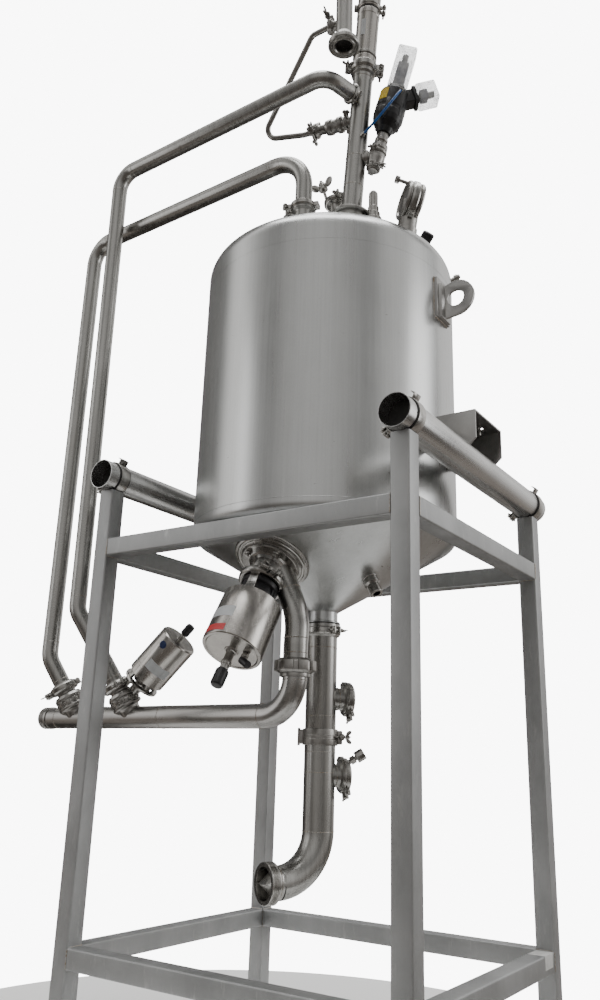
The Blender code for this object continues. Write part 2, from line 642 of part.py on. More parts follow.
def make_branch(shop, name, foot, knee):
    """A clamped union that stands on the manifold and takes the lower end of a product pipe."""
    heading = (knee - foot).normalized()
    stub = 0.0340
    body = BRANCH_BODY_RADIUS
    ring = BRANCH_RING_RADIUS
    outline = [(0.0, BRANCH_LENGTH), (ring - 0.014, BRANCH_LENGTH), (ring, BRANCH_LENGTH - 0.008),
               (ring, BRANCH_LENGTH - 0.026), (ring - 0.012, BRANCH_LENGTH - 0.034), (stub, BRANCH_LENGTH - 0.038),
               (stub, BRANCH_BODY_TOP + 0.008), (body, BRANCH_BODY_TOP), (body, BRANCH_BODY_LOW),
               (stub + 0.004, BRANCH_BODY_LOW - 0.006), (stub, 0.0), (0.0, 0.0)]
    union = turned(shop, name, outline, foot, heading, 24)
    radius = MANIFOLD_RADIUS + GAP
    along = (manifold_point(1.0) - manifold_point(0.0)).normalized()
    outline = [(0.0, 0.15), (radius, 0.15), (radius, -0.15), (0.0, -0.15)]
    boolean(shop, union, turned(shop, name + "_seat", outline, foot, along, 32), "DIFFERENCE")
    shop.keep(union, shop.cast)
    return heading


def make_product_pipes(shop, envelope):
    up = Vector((0.0, 0.0, 1.0))
    foot = manifold_point(RETURN_FOOT_ALONG)
    knee = RETURN_DROP + up * RETURN_KNEE
    heading = make_branch(shop, "return_union", foot, knee)
    corners = [foot + heading * (BRANCH_LENGTH + GAP), knee, RETURN_DROP + up * RETURN_RUN,
               RETURN_NOZZLE + up * RETURN_RUN, RETURN_NOZZLE + up * (RETURN_CLAMP + GAP)]
    pipe = tube(shop, "return_pipe", bent_points(corners, [PIPE_BEND, PIPE_BEND, NOZZLE_BEND]), PIPE_RADIUS)
    shop.keep(pipe, shop.pipe)
    ring = 0.044
    outline = [(0.0, 0.0), (ring - 0.008, 0.0), (ring, -0.006), (ring, -0.024), (ring - 0.010, -0.030),
               (PIPE_RADIUS, -0.032), (PIPE_RADIUS, -0.160), (0.0, -0.160)]
    nozzle = turned(shop, "return_nozzle", outline, RETURN_NOZZLE + up * RETURN_CLAMP, up, 24)
    boolean(shop, nozzle, envelope, "DIFFERENCE")
    shop.keep(nozzle, shop.cast)

    foot = manifold_point(SUPPLY_FOOT_ALONG)
    knee = SUPPLY_DROP + up * SUPPLY_KNEE
    heading = make_branch(shop, "supply_union", foot, knee)
    tee = riser_point(SUPPLY_TEE)
    end = tee + BRANCH_HEADING * (BRANCH_REACH + GAP)
    corner = tee + BRANCH_HEADING * ((SUPPLY_DROP.y - tee.y) / BRANCH_HEADING.y)
    top = SUPPLY_DROP + up * SUPPLY_RUN
    top.x -= SUPPLY_LEAN
    corners = [foot + heading * (BRANCH_LENGTH + GAP), knee, top, corner, end]
    pipe = tube(shop, "supply_pipe", bent_points(corners, SUPPLY_BEND), PIPE_RADIUS)
    shop.keep(pipe, shop.pipe)
    make_branch_actuator(shop, foot + heading * (BRANCH_BODY_TOP + BRANCH_BODY_LOW) / 2, heading)


def make_branch_actuator(shop, start, union_heading):
    """The actuator that leans away from the supply union, with its stem and knob beyond the far end."""
    heading = Vector((0.70, 0.10, 0.70)).normalized()
    near = 0.086
    far = near + 0.212
    radius = 0.068
    neck = 0.026
    stem = 0.008
    knob = 0.015
    stem_end = far + 0.020
    knob_end = stem_end + 0.042
    outline = [(0.0, knob_end), (knob - 0.002, knob_end), (knob, knob_end - 0.003), (knob, stem_end),
               (stem, stem_end - 0.001), (stem, far), (radius - 0.006, far), (radius, far - 0.006),
               (radius, near + 0.004), (radius - 0.004, near), (neck, near), (neck, 0.020), (0.0, 0.020)]
    actuator = turned(shop, "branch_actuator", outline, start, heading, 28)
    body = BRANCH_BODY_RADIUS + GAP
    ring = BRANCH_RING_RADIUS + GAP
    step = (BRANCH_BODY_TOP - BRANCH_BODY_LOW) / 2 + 0.004
    outline = [(0.0, 0.1), (ring, 0.1), (ring, step + 0.004), (body, step), (body, -0.1), (0.0, -0.1)]
    boolean(shop, actuator, turned(shop, "union_clearance", outline, start, union_heading, 24), "DIFFERENCE")
    shop.keep(actuator, shop.jacket)


def riser_point(height):
    """The point on the leaning riser's centre line at a height above the floor."""
    return RISER_FOOT + RISER_LEAN * ((height - RISER_FOOT.z) / RISER_LEAN.z)


def make_riser(shop, envelope):
    """The riser leans a little to the right; its own outline is measured along the lean from its foot."""
    flange_low = RISER_FLANGE - 0.012
    neck = 0.056
    top = RISER_TOP
    outline = [(0.0, top), (CHECK_RADIUS, top), (CHECK_RADIUS, top - 0.010), (RISER_RADIUS, top - 0.014),
               (RISER_RADIUS, RISER_FLANGE), (RISER_FLANGE_RADIUS, RISER_FLANGE - 0.002),
               (RISER_FLANGE_RADIUS, flange_low), (neck, flange_low - 0.004), (neck, -0.160), (0.0, -0.160)]
    riser = turned(shop, "riser_pipe", outline, RISER_FOOT, RISER_LEAN, 28)
    collar = 0.036
    stub = 0.029
    branch = [(0.0, BRANCH_REACH), (collar, BRANCH_REACH), (collar, BRANCH_REACH - 0.007),
              (stub, BRANCH_REACH - 0.010), (stub, 0.0), (0.0, 0.0)]
    place = riser_point(SUPPLY_TEE)
    boolean(shop, riser, turned(shop, "riser_branch", branch, place, BRANCH_HEADING, 24), "UNION")
    reach = BYPASS_REACH
    valve = [(0.0, reach), (0.026, reach), (0.026, reach - 0.018), (0.018, reach - 0.022),
             (0.018, 0.130), (0.025, 0.124), (0.025, 0.074), (0.017, 0.066), (0.017, 0.0), (0.0, 0.0)]
    place = riser_point(BYPASS_HEIGHT)
    boolean(shop, riser, turned(shop, "bypass_valve", valve, place, BYPASS_HEADING, 20), "UNION")
    boolean(shop, riser, envelope, "DIFFERENCE")
    shop.keep(riser, shop.pipe)

    low = top + GAP
    band = 0.053
    groove = 0.290
    step = 0.004
    outline = [(0.0, CHECK_TOP), (CHECK_RADIUS, CHECK_TOP), (CHECK_RADIUS, low + groove),
               (CHECK_RADIUS - step, low + groove - 0.002), (CHECK_RADIUS - step, low + groove - 0.012),
               (CHECK_RADIUS, low + groove - 0.014), (CHECK_RADIUS, low + 0.048), (band, low + 0.040),
               (band, low + 0.008), (CHECK_RADIUS, low), (0.0, low)]
    check = turned(shop, "check_valve", outline, RISER_FOOT, RISER_LEAN, 28)
    shop.keep(check, shop.cast)


def make_swan_neck(shop):
    up = Vector((0.0, 0.0, 1.0))
    start = RISER_FOOT + RISER_LEAN * (CHECK_TOP + GAP)
    rise = riser_point(SWAN_TOP)
    fall = FILL_PIPE + up * SWAN_TOP
    end = FILL_PIPE + up * (FILL_MOUTH + 0.040)
    bend = (fall - rise).length / 2.15
    route = bent_points([start, rise, fall, end], bend, 6)
    neck = as_mesh(shop, tube(shop, "swan_neck", route, PIPE_RADIUS, 4))
    ring = [(0.0, 0.050), (PIPE_RADIUS + 0.006, 0.046), (FILL_RING_RADIUS - 0.008, 0.026),
            (FILL_RING_RADIUS, 0.018), (FILL_RING_RADIUS, 0.004), (FILL_RING_RADIUS - 0.004, 0.0), (0.0, 0.0)]
    place = FILL_PIPE + up * FILL_MOUTH
    boolean(shop, neck, turned(shop, "fill_ring", ring, place, up, 24), "UNION")
    stub = [(0.0, 0.060), (0.017, 0.060), (0.017, 0.046), (0.009, 0.042), (0.009, 0.0), (0.0, 0.0)]
    place_stub = FILL_PIPE + up * BYPASS_TOP
    boolean(shop, neck, turned(shop, "bypass_stub", stub, place_stub, (-1, 0, 0), 16), "UNION")
    bore = [(0.0, FILL_BORE_DEPTH), (FILL_BORE, FILL_BORE_DEPTH), (FILL_BORE, -0.010), (0.0, -0.010)]
    boolean(shop, neck, turned(shop, "fill_bore", bore, place, up, 24), "DIFFERENCE")
    shop.keep(neck, shop.pipe)

    end = riser_point(BYPASS_HEIGHT) + BYPASS_HEADING * (BYPASS_REACH + GAP)
    before = end + BYPASS_HEADING * 0.050
    start = place_stub + Vector((-0.060 - GAP, 0.0, 0.0))
    corners = [start, Vector((0.118, FILL_PIPE.y, BYPASS_TOP)), Vector((-0.172, -0.255, LOWER_RAIL_TOP + 2.875)),
               before, end]
    bypass = tube(shop, "bypass_tube", bent_points(corners, 0.035), BYPASS_RADIUS, 2)
    shop.keep(bypass, shop.pipe)


def make_control_valve(shop):
    axis = CONTROL_AXIS
    body_end = 0.160
    outline = [(0.0, body_end), (0.024, body_end), (0.024, 0.118), (0.031, 0.108), (0.031, 0.050),
               (0.022, 0.020), (0.022, 0.004), (0.018, 0.0), (0.0, 0.0)]
    body = turned(shop, "control_valve_body", outline, CONTROL_FOOT, axis, 16)
    joint = CONTROL_FOOT + axis * 0.062
    level = riser_point(joint.z)
    away = (joint - level).normalized()
    length = (joint - level).length
    stub = [(0.0, length), (0.024, length), (0.024, 0.0), (0.0, 0.0)]
    boolean(shop, body, turned(shop, "control_stub", stub, level, away, 16), "UNION")
    radius = RISER_RADIUS + GAP
    cut = [(0.0, 0.2), (radius, 0.2), (radius, -0.2), (0.0, -0.2)]
    boolean(shop, body, turned(shop, "riser_clearance", cut, level, RISER_LEAN, 28), "DIFFERENCE")
    shop.keep(body, shop.cast)

    start = body_end + GAP
    outline = [(0.0, start + 0.192), (0.038, start + 0.192), (0.040, start + 0.184), (0.055, start + 0.172),
               (0.055, start + 0.058), (0.046, start + 0.032), (0.032, start + 0.018), (0.026, start), (0.0, start)]
    actuator = turned(shop, "control_valve_actuator", outline, CONTROL_FOOT, axis, 24)
    side_foot = CONTROL_FOOT + axis * 0.298
    side_turn = leaning_turn(axis, math.radians(31))
    side_base = block(shop, "side_feedback_base", (0.026, -0.026, -0.028), (0.094, 0.026, 0.030))
    seat_on_axis(side_base, side_foot, side_turn)
    boolean(shop, actuator, side_base, "UNION")
    shop.keep(actuator, shop.black)

    high = start + 0.192 + GAP
    cover = block(shop, "feedback_box_top", (-0.036, -0.031, high), (0.036, 0.031, high + 0.190))
    seat_on_axis(cover, CONTROL_FOOT, leaning_turn(axis, 0.0))
    ease(cover, 0.006)
    shop.keep(cover, shop.clear)
    cover = block(shop, "feedback_box_side", (0.094 + GAP, -0.034, -0.038), (0.170, 0.034, 0.040))
    seat_on_axis(cover, side_foot, side_turn)
    ease(cover, 0.006)
    shop.keep(cover, shop.clear)


def leaning_turn(axis, lift):
    """A turn that stands Z on the leaning axis with X to the valve's right, both lifted towards the axis."""
    across = Vector((0.83, 0.556, 0.0))
    across = (across - axis * across.dot(axis)).normalized()
    side = across * math.cos(lift) + axis * math.sin(lift)
    top = axis * math.cos(lift) - across * math.sin(lift)
    return Matrix((side, top.cross(side), top)).transposed().to_euler()


def seat_on_axis(piece, foot, turn):
    """Turns a block that was made about an upright axis so that it stands on the leaning axis."""
    offset = piece.location.copy()
    offset.rotate(turn)
    piece.location = foot + offset
    piece.rotation_euler = turn


def ease(piece, width):
    bevel = piece.modifiers.new("edges", "BEVEL")
    bevel.width = width
    bevel.segments = 2


def make_air_hose(shop):
    """The short air hose that hangs from the actuator's shoulder to the front of the riser."""
    right = Vector((0.831, 0.556, 0.0))
    front = Vector((0.538, -0.843, 0.0))
    start = CONTROL_FOOT + CONTROL_AXIS * 0.310 + right * 0.0248 + front * 0.0570
    riser_side = (right * 0.4 + front * 0.92).normalized()
    end = riser_point(LOWER_RAIL_TOP + 2.726) + riser_side * (RISER_RADIUS + GAP + 0.001)
    first = start + front * 0.050 - CONTROL_AXIS * 0.045 + right * 0.004
    second = end + (right * 0.55 + front * 0.84) * 0.075
    points = []
    steps = 12
    for step in range(steps + 1):
        t = step / steps
        point = start * (1 - t) ** 3 + first * 3 * t * (1 - t) ** 2
        points.append(point + second * 3 * t ** 2 * (1 - t) + end * t ** 3)
    hose = tube(shop, "air_hose", points, HOSE_RADIUS, 2)
    shop.keep(hose, shop.blue)


def make_roof_port(shop, envelope):
    """A short clamped sight port on the roof's right shoulder."""
    centre = Vector((0.400, -0.106, LOWER_RAIL_TOP + 2.462))
    heading = Vector((-0.666, -0.727, 0.169)).normalized()
    half = 0.031
    rim = 0.075
    outline = [(0.0, half), (rim - 0.010, half), (rim, half - 0.008), (rim, -half + 0.008), (rim - 0.008, -half),
               (0.0, -half)]
    port = turned(shop, "roof_port", outline, centre, heading, 24)
    neck = [(0.0, 0.0), (0.034, 0.0), (0.034, -0.200), (0.0, -0.200)]
    lean = Vector((0.20, -0.05, 1.0)).normalized()
    boolean(shop, port, turned(shop, "roof_port_neck", neck, centre, lean, 20), "UNION")
    boolean(shop, port, envelope, "DIFFERENCE")
    shop.keep(port, shop.cast)


def make_cone_fitting(shop, envelope):
    """A small threaded fitting that stands square on the cone's right side."""
    turn = math.radians(-10.5)
    radius = 0.208
    height = SHELL_BOTTOM - 0.0374 - (0.4386 - radius) * math.tan(CONE_SLOPE)
    foot = Vector((radius * math.cos(turn), radius * math.sin(turn), height))
    out = Vector((math.sin(CONE_SLOPE) * math.cos(turn), math.sin(CONE_SLOPE) * math.sin(turn),
                  -math.cos(CONE_SLOPE)))
    bore = 0.013
    outline = [(0.021, 0.060), (0.021, 0.020), (0.026, 0.017), (0.026, -0.020), (bore, -0.020), (bore, 0.060)]
    fitting = turned(shop, "cone_fitting", outline, foot, out, 20, closed=True)
    boolean(shop, fitting, envelope, "DIFFERENCE")
    shop.keep(fitting, shop.cast)


def place_origin(shop):
    """Moves the carrier so that the model's origin lies under the middle of its plan."""
    cap_end = manifold_point(MANIFOLD_REACH)
    left = cap_end.x - (MANIFOLD_CAP_RADIUS - 0.006) * math.sin(MANIFOLD_TURN)
    right = FRAME_WIDTH / 2 - SECTION / 2 + FOOT_WIDTH / 2
    right = max(right, BRACKET_REACH)
    shop.carrier.location = (-(left + right) / 2, 0.0, 0.0)


def main():
    clear_scene()
    shop = Workshop()
    envelope = make_envelope(shop)
    make_frame(shop)
    make_supports(shop, envelope)
    make_tank(shop)
    make_lugs(shop, envelope)
    make_outlet(shop)
    make_drain_valve(shop, envelope)
    make_manifold(shop)
    make_product_pipes(shop, envelope)
    make_riser(shop, envelope)
    make_swan_neck(shop)
    make_control_valve(shop)
    make_air_hose(shop)
    make_roof_port(shop, envelope)
    make_cone_fitting(shop, envelope)
    place_origin(shop)


main()
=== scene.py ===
"""Looks of the jacketed process tank: smooth visual pieces, finishes, floor, light and camera.

Metres, +Z up; the outlines that mm() and solid() read are in millimetres. Places are given as in the
part's drawing, whose plan centre is the tank's axis, and spot() moves them to the model's own origin.
The names after a piece's finish are the solids that it stands for.
"""

import math

import bmesh
import bpy
from mathutils import Matrix, Vector
from mathutils.geometry import interpolate_bezier


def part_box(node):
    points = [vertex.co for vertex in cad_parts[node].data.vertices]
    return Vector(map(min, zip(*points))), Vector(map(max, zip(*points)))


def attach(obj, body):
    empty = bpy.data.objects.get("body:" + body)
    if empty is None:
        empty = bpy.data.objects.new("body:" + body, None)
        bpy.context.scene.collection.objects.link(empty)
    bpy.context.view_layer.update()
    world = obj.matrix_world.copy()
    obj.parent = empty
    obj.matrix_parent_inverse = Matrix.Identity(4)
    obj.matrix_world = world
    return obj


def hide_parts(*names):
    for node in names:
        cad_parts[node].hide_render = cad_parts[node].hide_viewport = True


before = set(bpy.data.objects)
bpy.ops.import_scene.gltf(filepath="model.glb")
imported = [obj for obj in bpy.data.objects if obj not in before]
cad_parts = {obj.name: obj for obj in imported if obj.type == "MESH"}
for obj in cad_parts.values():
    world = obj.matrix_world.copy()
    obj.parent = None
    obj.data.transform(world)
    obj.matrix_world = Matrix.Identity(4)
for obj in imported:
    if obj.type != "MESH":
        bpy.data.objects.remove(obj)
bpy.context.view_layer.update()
shell_low, shell_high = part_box("tank_shell")
AXIS_X = (shell_low.x + shell_high.x) / 2

UP = Vector((0.0, 0.0, 1.0))
ACROSS = Vector((1.0, 0.0, 0.0))
ALONG = Vector((0.0, 1.0, 0.0))

# Level ways towards the right of the view and towards the viewer
VIEW_RIGHT = Vector((0.831, 0.556, 0.0))
VIEW_FRONT = Vector((0.538, -0.843, 0.0))


# Directions and lines

def level_way(degrees):
    """A level direction, at an angle from the drawing's right."""
    return Vector((math.cos(math.radians(degrees)), math.sin(math.radians(degrees)), 0.0))


def square_to(axis, direction):
    """The part of a direction that is square to an axis, of length one."""
    direction = Vector(direction)
    return (direction - axis * direction.dot(axis)).normalized()


class Line:
    """A foot and a heading, on which the bits of a piece stand."""

    def __init__(self, foot, heading=UP):
        self.foot = Vector(foot)
        self.heading = Vector(heading).normalized()

    def side(self, degrees):
        """The direction out from the line, at an angle from the view's right."""
        right = square_to(self.heading, VIEW_RIGHT)
        turn = math.radians(degrees)
        return right * math.cos(turn) + right.cross(self.heading) * math.sin(turn)

    def at(self, along, out=0.0, degrees=0.0):
        """A point along the line, and out from it at an angle."""
        return self.foot + self.heading * along + self.side(degrees) * out

    def on(self, along, out=0.0, degrees=0.0):
        """The line with the same heading from such a point."""
        return Line(self.at(along, out, degrees), self.heading)


# Frame and supports
RAIL_TOP = 0.400
UPPER_RAIL_TOP = RAIL_TOP + 1.243
SECTION = 0.060
LEG_X = 0.564
LEG_Y = 0.487
LEG_TOP = 1.816
LEG_SIDES = ((-1, -1), (-1, 1), (1, -1), (1, 1))
FOOT_WIDTH = 0.110
FOOT_THICK = 0.010
TUBE_RADIUS = 0.0508
TUBE_BORE = 0.0482
TUBE_HALF = 0.548
TUBE_HEIGHT = LEG_TOP + 0.0003 + TUBE_RADIUS
LEFT_BRACKET_SHIFT = 0.130

# Tank
TANK_RADIUS = 0.460
TANK_WALL = 0.003
SHELL_TOP = RAIL_TOP + 2.267
SHELL_BOTTOM = RAIL_TOP + 1.2992
ROOF_KNUCKLE = 0.080
ROOF_CROWN = 0.900
CONE_KNUCKLE = 0.0434
CONE_SLOPE = math.radians(30.46)
SPOOL_BOTTOM = RAIL_TOP + 0.996

# Outlet line
OUTLET_RADIUS = 0.0508
FERRULE_RADIUS = 0.0595
OUTLET_JOINT = RAIL_TOP + 0.623
PORT_WAY = level_way(50)
UPPER_PORT = RAIL_TOP + 0.748
UPPER_REACH = 0.106
LOWER_PORT = RAIL_TOP + 0.504
LOWER_REACH = 0.097
OUTLET_KNEE = Vector((0.0, 0.0, RAIL_TOP + 0.186))
MOUTH = Line(OUTLET_KNEE + level_way(-115) * 0.192, level_way(-115))

# Drain valve, manifold and the pipes that leave it
DRAIN = Line((-0.029, -0.269, RAIL_TOP + 1.166), (0.0, -math.sin(CONE_SLOPE), -math.cos(CONE_SLOPE)))
DROP = Vector((0.083, -0.280, 0.0))
UNION_TOP = RAIL_TOP + 0.845
UNION_BOTTOM = RAIL_TOP + 0.800
MANIFOLD = Line(DROP + UP * (RAIL_TOP + 0.6745), level_way(180 - 4.24))
MANIFOLD_RADIUS = 0.03805
MANIFOLD_REACH = 1.214
PIPE_RADIUS = 0.03015
BRANCH_LENGTH = 0.142
RETURN_DROP = Vector((-1.033, -0.286, 0.0))
RETURN_NOZZLE = Vector((0.075, -0.308, 0.0))
RETURN_CLAMP = RAIL_TOP + 2.452
SUPPLY_DROP = Vector((-0.810, -0.372, 0.0))

# Riser, swan neck and control valve
RISER = Line((0.2198, -0.2125, RAIL_TOP + 2.458), (0.0515, 0.0345, 1.0))
RISER_RADIUS = 0.0365
RISER_TOP = 0.574
CHECK_RADIUS = 0.044
CHECK_TOP = 1.020
TEE_REACH = 0.050
BYPASS_REACH = 0.188
BYPASS_TOP = RAIL_TOP + 3.150
FILL_PIPE = Vector((0.258, -0.350, 0.0))
FILL_MOUTH = RAIL_TOP + 3.022
SWAN_TOP = RAIL_TOP + 3.700
CONTROL = Line((0.290, -0.190, RAIL_TOP + 2.583), (0.215, 0.105, 0.970))
HOSE_RADIUS = 0.0045
HOSE_START = CONTROL.at(0.310) + VIEW_RIGHT * 0.0248 + VIEW_FRONT * 0.0570
HOSE_OUT = (VIEW_RIGHT * 0.40 + VIEW_FRONT * 0.92).normalized()


def riser_point(height):
    """The point on the leaning riser's centre line at a height above the floor."""
    return RISER.at((height - RISER.foot.z) / RISER.heading.z)


TEE = Line(riser_point(RAIL_TOP + 2.911), level_way(255))
BYPASS = Line(riser_point(RAIL_TOP + 2.824), (-0.985, -0.080, 0.095))


# Shaping

def spot(point):
    """A place of the drawing in the model's own frame."""
    return Vector((point[0] + AXIS_X, point[1], point[2]))


def stand(line, side=None):
    """The matrix that puts a shape on a line, with its Z along the line and its X towards the side."""
    up = line.heading
    if side is None:
        turn = up.to_track_quat("Z", "Y").to_matrix()
    else:
        across = square_to(up, side)
        turn = Matrix((across, up.cross(across), up)).transposed()
    return Matrix.Translation(spot(line.foot)) @ turn.to_4x4()


def join(shape, work, matrix):
    """Adds a finished bit to the shape of a piece."""
    bmesh.ops.remove_doubles(work, verts=work.verts, dist=0.000005)
    bmesh.ops.recalc_face_normals(work, faces=work.faces)
    bmesh.ops.transform(work, matrix=matrix, verts=work.verts)
    mesh = bpy.data.meshes.new("bit")
    work.to_mesh(mesh)
    work.free()
    shape.from_mesh(mesh)
    bpy.data.meshes.remove(mesh)


def soften(outline, radius, closed, steps=3):
    """Rounds an outline's corners, each by the radius or by what its sides leave room for."""
    points = [Vector(point) for point in outline]
    points = [point for i, point in enumerate(points) if i == 0 or (point - points[i - 1]).length > 0.00005]
    if closed and (points[0] - points[-1]).length < 0.00005:
        points.pop()
    count = len(points)
    rounded = []
    for i, corner in enumerate(points):
        at_end = not closed and i in (0, count - 1)
        before = points[i - 1] - corner
        after = points[(i + 1) % count] - corner
        turn = math.pi - before.angle(after)
        if at_end or turn < 0.12 or corner.x < 0.00001:
            rounded.append(corner)
            continue
        reach = min(radius * math.tan(turn / 2), before.length * 0.45, after.length * 0.45)
        start = corner + before.normalized() * reach
        end = corner + after.normalized() * reach
        for step in range(steps + 1):
            t = step / steps
            rounded.append(start * (1 - t) ** 2 + corner * 2 * t * (1 - t) + end * t ** 2)
    return rounded


def mm(*pairs):
    """An outline in metres from radius and height pairs in millimetres."""
    return [(radius / 1000, height / 1000) for radius, height in pairs]


def solid(*pairs):
    """Such an outline, closed by the axis at both its ends."""
    outline = mm(*pairs)
    return [(0.0, outline[0][1])] + outline + [(0.0, outline[-1][1])]


def thread(top, turns, crest, root, falls):
    """A screw thread's pairs in millimetres, from its top down at a pitch of 3.6."""
    pairs = []
    for i in range(turns):
        pairs += [(radius, top - 3.6 * i - fall) for radius, fall in zip((crest, crest, root, root), falls)]
    return pairs


def turned(shape, line, outline, soft=0.0012, steps=64, closed=False):
    """A turned bit: radius and height pairs, turned about the line."""
    work = bmesh.new()
    if soft:
        outline = soften(outline, soft, closed)
    verts = [work.verts.new((point[0], 0.0, point[1])) for point in outline]
    edges = [work.edges.new(pair) for pair in zip(verts, verts[1:])]
    if closed:
        edges.append(work.edges.new((verts[-1], verts[0])))
    bmesh.ops.spin(work, geom=verts + edges, cent=(0, 0, 0), axis=(0, 0, 1), angle=math.tau, steps=steps,
                   use_merge=True, use_duplicate=False)
    join(shape, work, stand(line))


def ring(shape, line, inner, outer, low, high, soft=0.0012, steps=64):
    """A plain turned ring between two radii and two heights along the line."""
    turned(shape, line, [(outer, high), (outer, low), (inner, low), (inner, high)], soft, steps, True)


def rod(shape, radius, start, end, soft=0.001, steps=32):
    """A round bar between two places."""
    start = Vector(start)
    way = Vector(end) - start
    outline = [(0.0, way.length), (radius, way.length), (radius, 0.0), (0.0, 0.0)]
    turned(shape, Line(start, way), outline, soft, steps)


def bead(shape, line, radius, thick, steps=64):
    """A weld bead or round ring about the line."""
    outline = arc((radius, 0.0), thick, 0.0, math.tau, 8)
    turned(shape, line, outline[:-1], 0, steps, True)


def bar(shape, size, line, side=None, soft=0.001, segments=2):
    """A block of a size along the side, across it and along the line, with eased edges."""
    work = bmesh.new()
    bmesh.ops.create_cube(work, size=1.0)
    bmesh.ops.scale(work, vec=size, verts=work.verts)
    bmesh.ops.bevel(work, geom=work.edges[:], offset=soft, segments=segments, profile=0.5, affect="EDGES",
                    material=-1)
    join(shape, work, stand(line, side))


def ball(shape, size, line, side=None):
    """An egg of a size along the side, across it and along the line."""
    work = bmesh.new()
    bmesh.ops.create_uvsphere(work, u_segments=20, v_segments=10, radius=0.5)
    bmesh.ops.scale(work, vec=size, verts=work.verts)
    join(shape, work, stand(line, side))


def bent_points(corners, bends, steps=14):
    """The centre line through the corners, with an arc of its own bend radius at each inner corner."""
    points = [corners[0]]
    for before, corner, after, bend in zip(corners, corners[1:], corners[2:], bends):
        way_in = (corner - before).normalized()
        way_out = (after - corner).normalized()
        turn = way_in.angle(way_out)
        start = corner - way_in * bend * math.tan(turn / 2)
        inward = square_to(way_in, way_out)
        centre = start + inward * bend
        for step in range(steps + 1):
            angle = turn * step / steps
            points.append(centre - inward * bend * math.cos(angle) + way_in * bend * math.sin(angle))
    points.append(corners[-1])
    return points


def pipe(shape, points, radius, sides=40):
    """A round pipe along the points, drawn out from a circle and closed at both ends."""
    ways = [(after - before).normalized() for before, after in zip(points, points[1:])]
    facings = [ways[0]] + [(one + two).normalized() for one, two in zip(ways, ways[1:])] + [ways[-1]]
    work = bmesh.new()
    turn = facings[0].to_track_quat("Z", "Y").to_matrix().to_4x4()
    matrix = Matrix.Translation(points[0]) @ turn
    made = bmesh.ops.create_circle(work, segments=sides, radius=radius, matrix=matrix)
    rim = list({edge for vert in made["verts"] for edge in vert.link_edges})
    ends = list(rim)
    for i in range(1, len(points)):
        grown = bmesh.ops.extrude_edge_only(work, edges=rim)["geom"]
        verts = [item for item in grown if isinstance(item, bmesh.types.BMVert)]
        members = set(verts)
        rim = list({edge for vert in verts for edge in vert.link_edges if edge.other_vert(vert) in members})
        swing = facings[i - 1].rotation_difference(facings[i]).to_matrix()
        bmesh.ops.rotate(work, cent=points[i - 1], matrix=swing, verts=verts)
        bmesh.ops.translate(work, vec=points[i] - points[i - 1], verts=verts)
    bmesh.ops.holes_fill(work, edges=ends + rim, sides=0)
    join(shape, work, Matrix.Translation((AXIS_X, 0.0, 0.0)))


def arc(centre, radius, start, end, steps):
    """Points on a circle of the radius and height plane, angles from the outward direction."""
    angles = [start + (end - start) * step / steps for step in range(steps + 1)]
    return [(centre[0] + radius * math.cos(angle), centre[1] + radius * math.sin(angle)) for angle in angles]


def wrapped_plate(shape, line, radius, low, high, start, end, thick=0.0006):
    """A thin plate wrapped on a can, between two heights and two angles from the view's right."""
    work = bmesh.new()
    first = line.side(start)
    corners = ((radius, low), (radius, high), (radius + thick, high), (radius + thick, low))
    verts = [work.verts.new(first * reach + line.heading * along) for reach, along in corners]
    first_end = work.faces.new(verts)
    bmesh.ops.spin(work, geom=[first_end], cent=(0, 0, 0), axis=-line.heading,
                   angle=math.radians(end - start), steps=14, use_merge=False, use_duplicate=False)
    if not first_end.is_valid:
        work.faces.new(verts)
    join(shape, work, Matrix.Translation(spot(line.foot)))


def only(bit, *sizes, **settings):
    """The shape of a piece that is one bit."""
    shape = bmesh.new()
    bit(shape, *sizes, **settings)
    return shape


def piece(name, shape, finish, *stands_for):
    """Makes a finished shape an object of the part, smooth but for its sharp edges, in place of solids."""
    mesh = bpy.data.meshes.new(name)
    shape.to_mesh(mesh)
    shape.free()
    mesh.shade_smooth()
    mesh.set_sharp_from_angle(angle=math.radians(32))
    mesh.materials.append(finish.material)
    made = bpy.data.objects.new(name, mesh)
    bpy.context.scene.collection.objects.link(made)
    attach(made, "root")
    if stands_for:
        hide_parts(*stands_for)
    return made


# Fasteners and clamps

def hex_bolt(shape, line, size=0.008, height=0.006, washer=True):
    """A hexagon head on its washer; size is half the width over corners."""
    if washer:
        ring(shape, line, size * 0.45, size * 1.15, 0.0, height * 0.22, 0.0003, 24)
    work = bmesh.new()
    bmesh.ops.create_cone(work, cap_ends=True, segments=6, radius1=size, radius2=size, depth=height * 0.8,
                          matrix=Matrix.Translation((0, 0, height * 0.6)))
    bmesh.ops.bevel(work, geom=work.edges[:], offset=size * 0.06, segments=2, profile=0.5, affect="EDGES",
                    material=-1)
    join(shape, work, stand(line))


def wing_nut(shape, line, side, size=1.0):
    """A cast wing nut: a round hub with two ears that rise away from the clamp."""
    side = square_to(line.heading, side)
    turned(shape, line, solid((5.5 * size, 15 * size), (8.5 * size, 0)), 0.001, 24)
    for way in (-1, 1):
        middle = line.at(0.0115 * size) + side * way * 0.0135 * size
        ear = Line(middle, side * way * 0.75 + line.heading)
        ball(shape, (0.0045 * size, 0.0135 * size, 0.021 * size), ear, line.heading.cross(side))


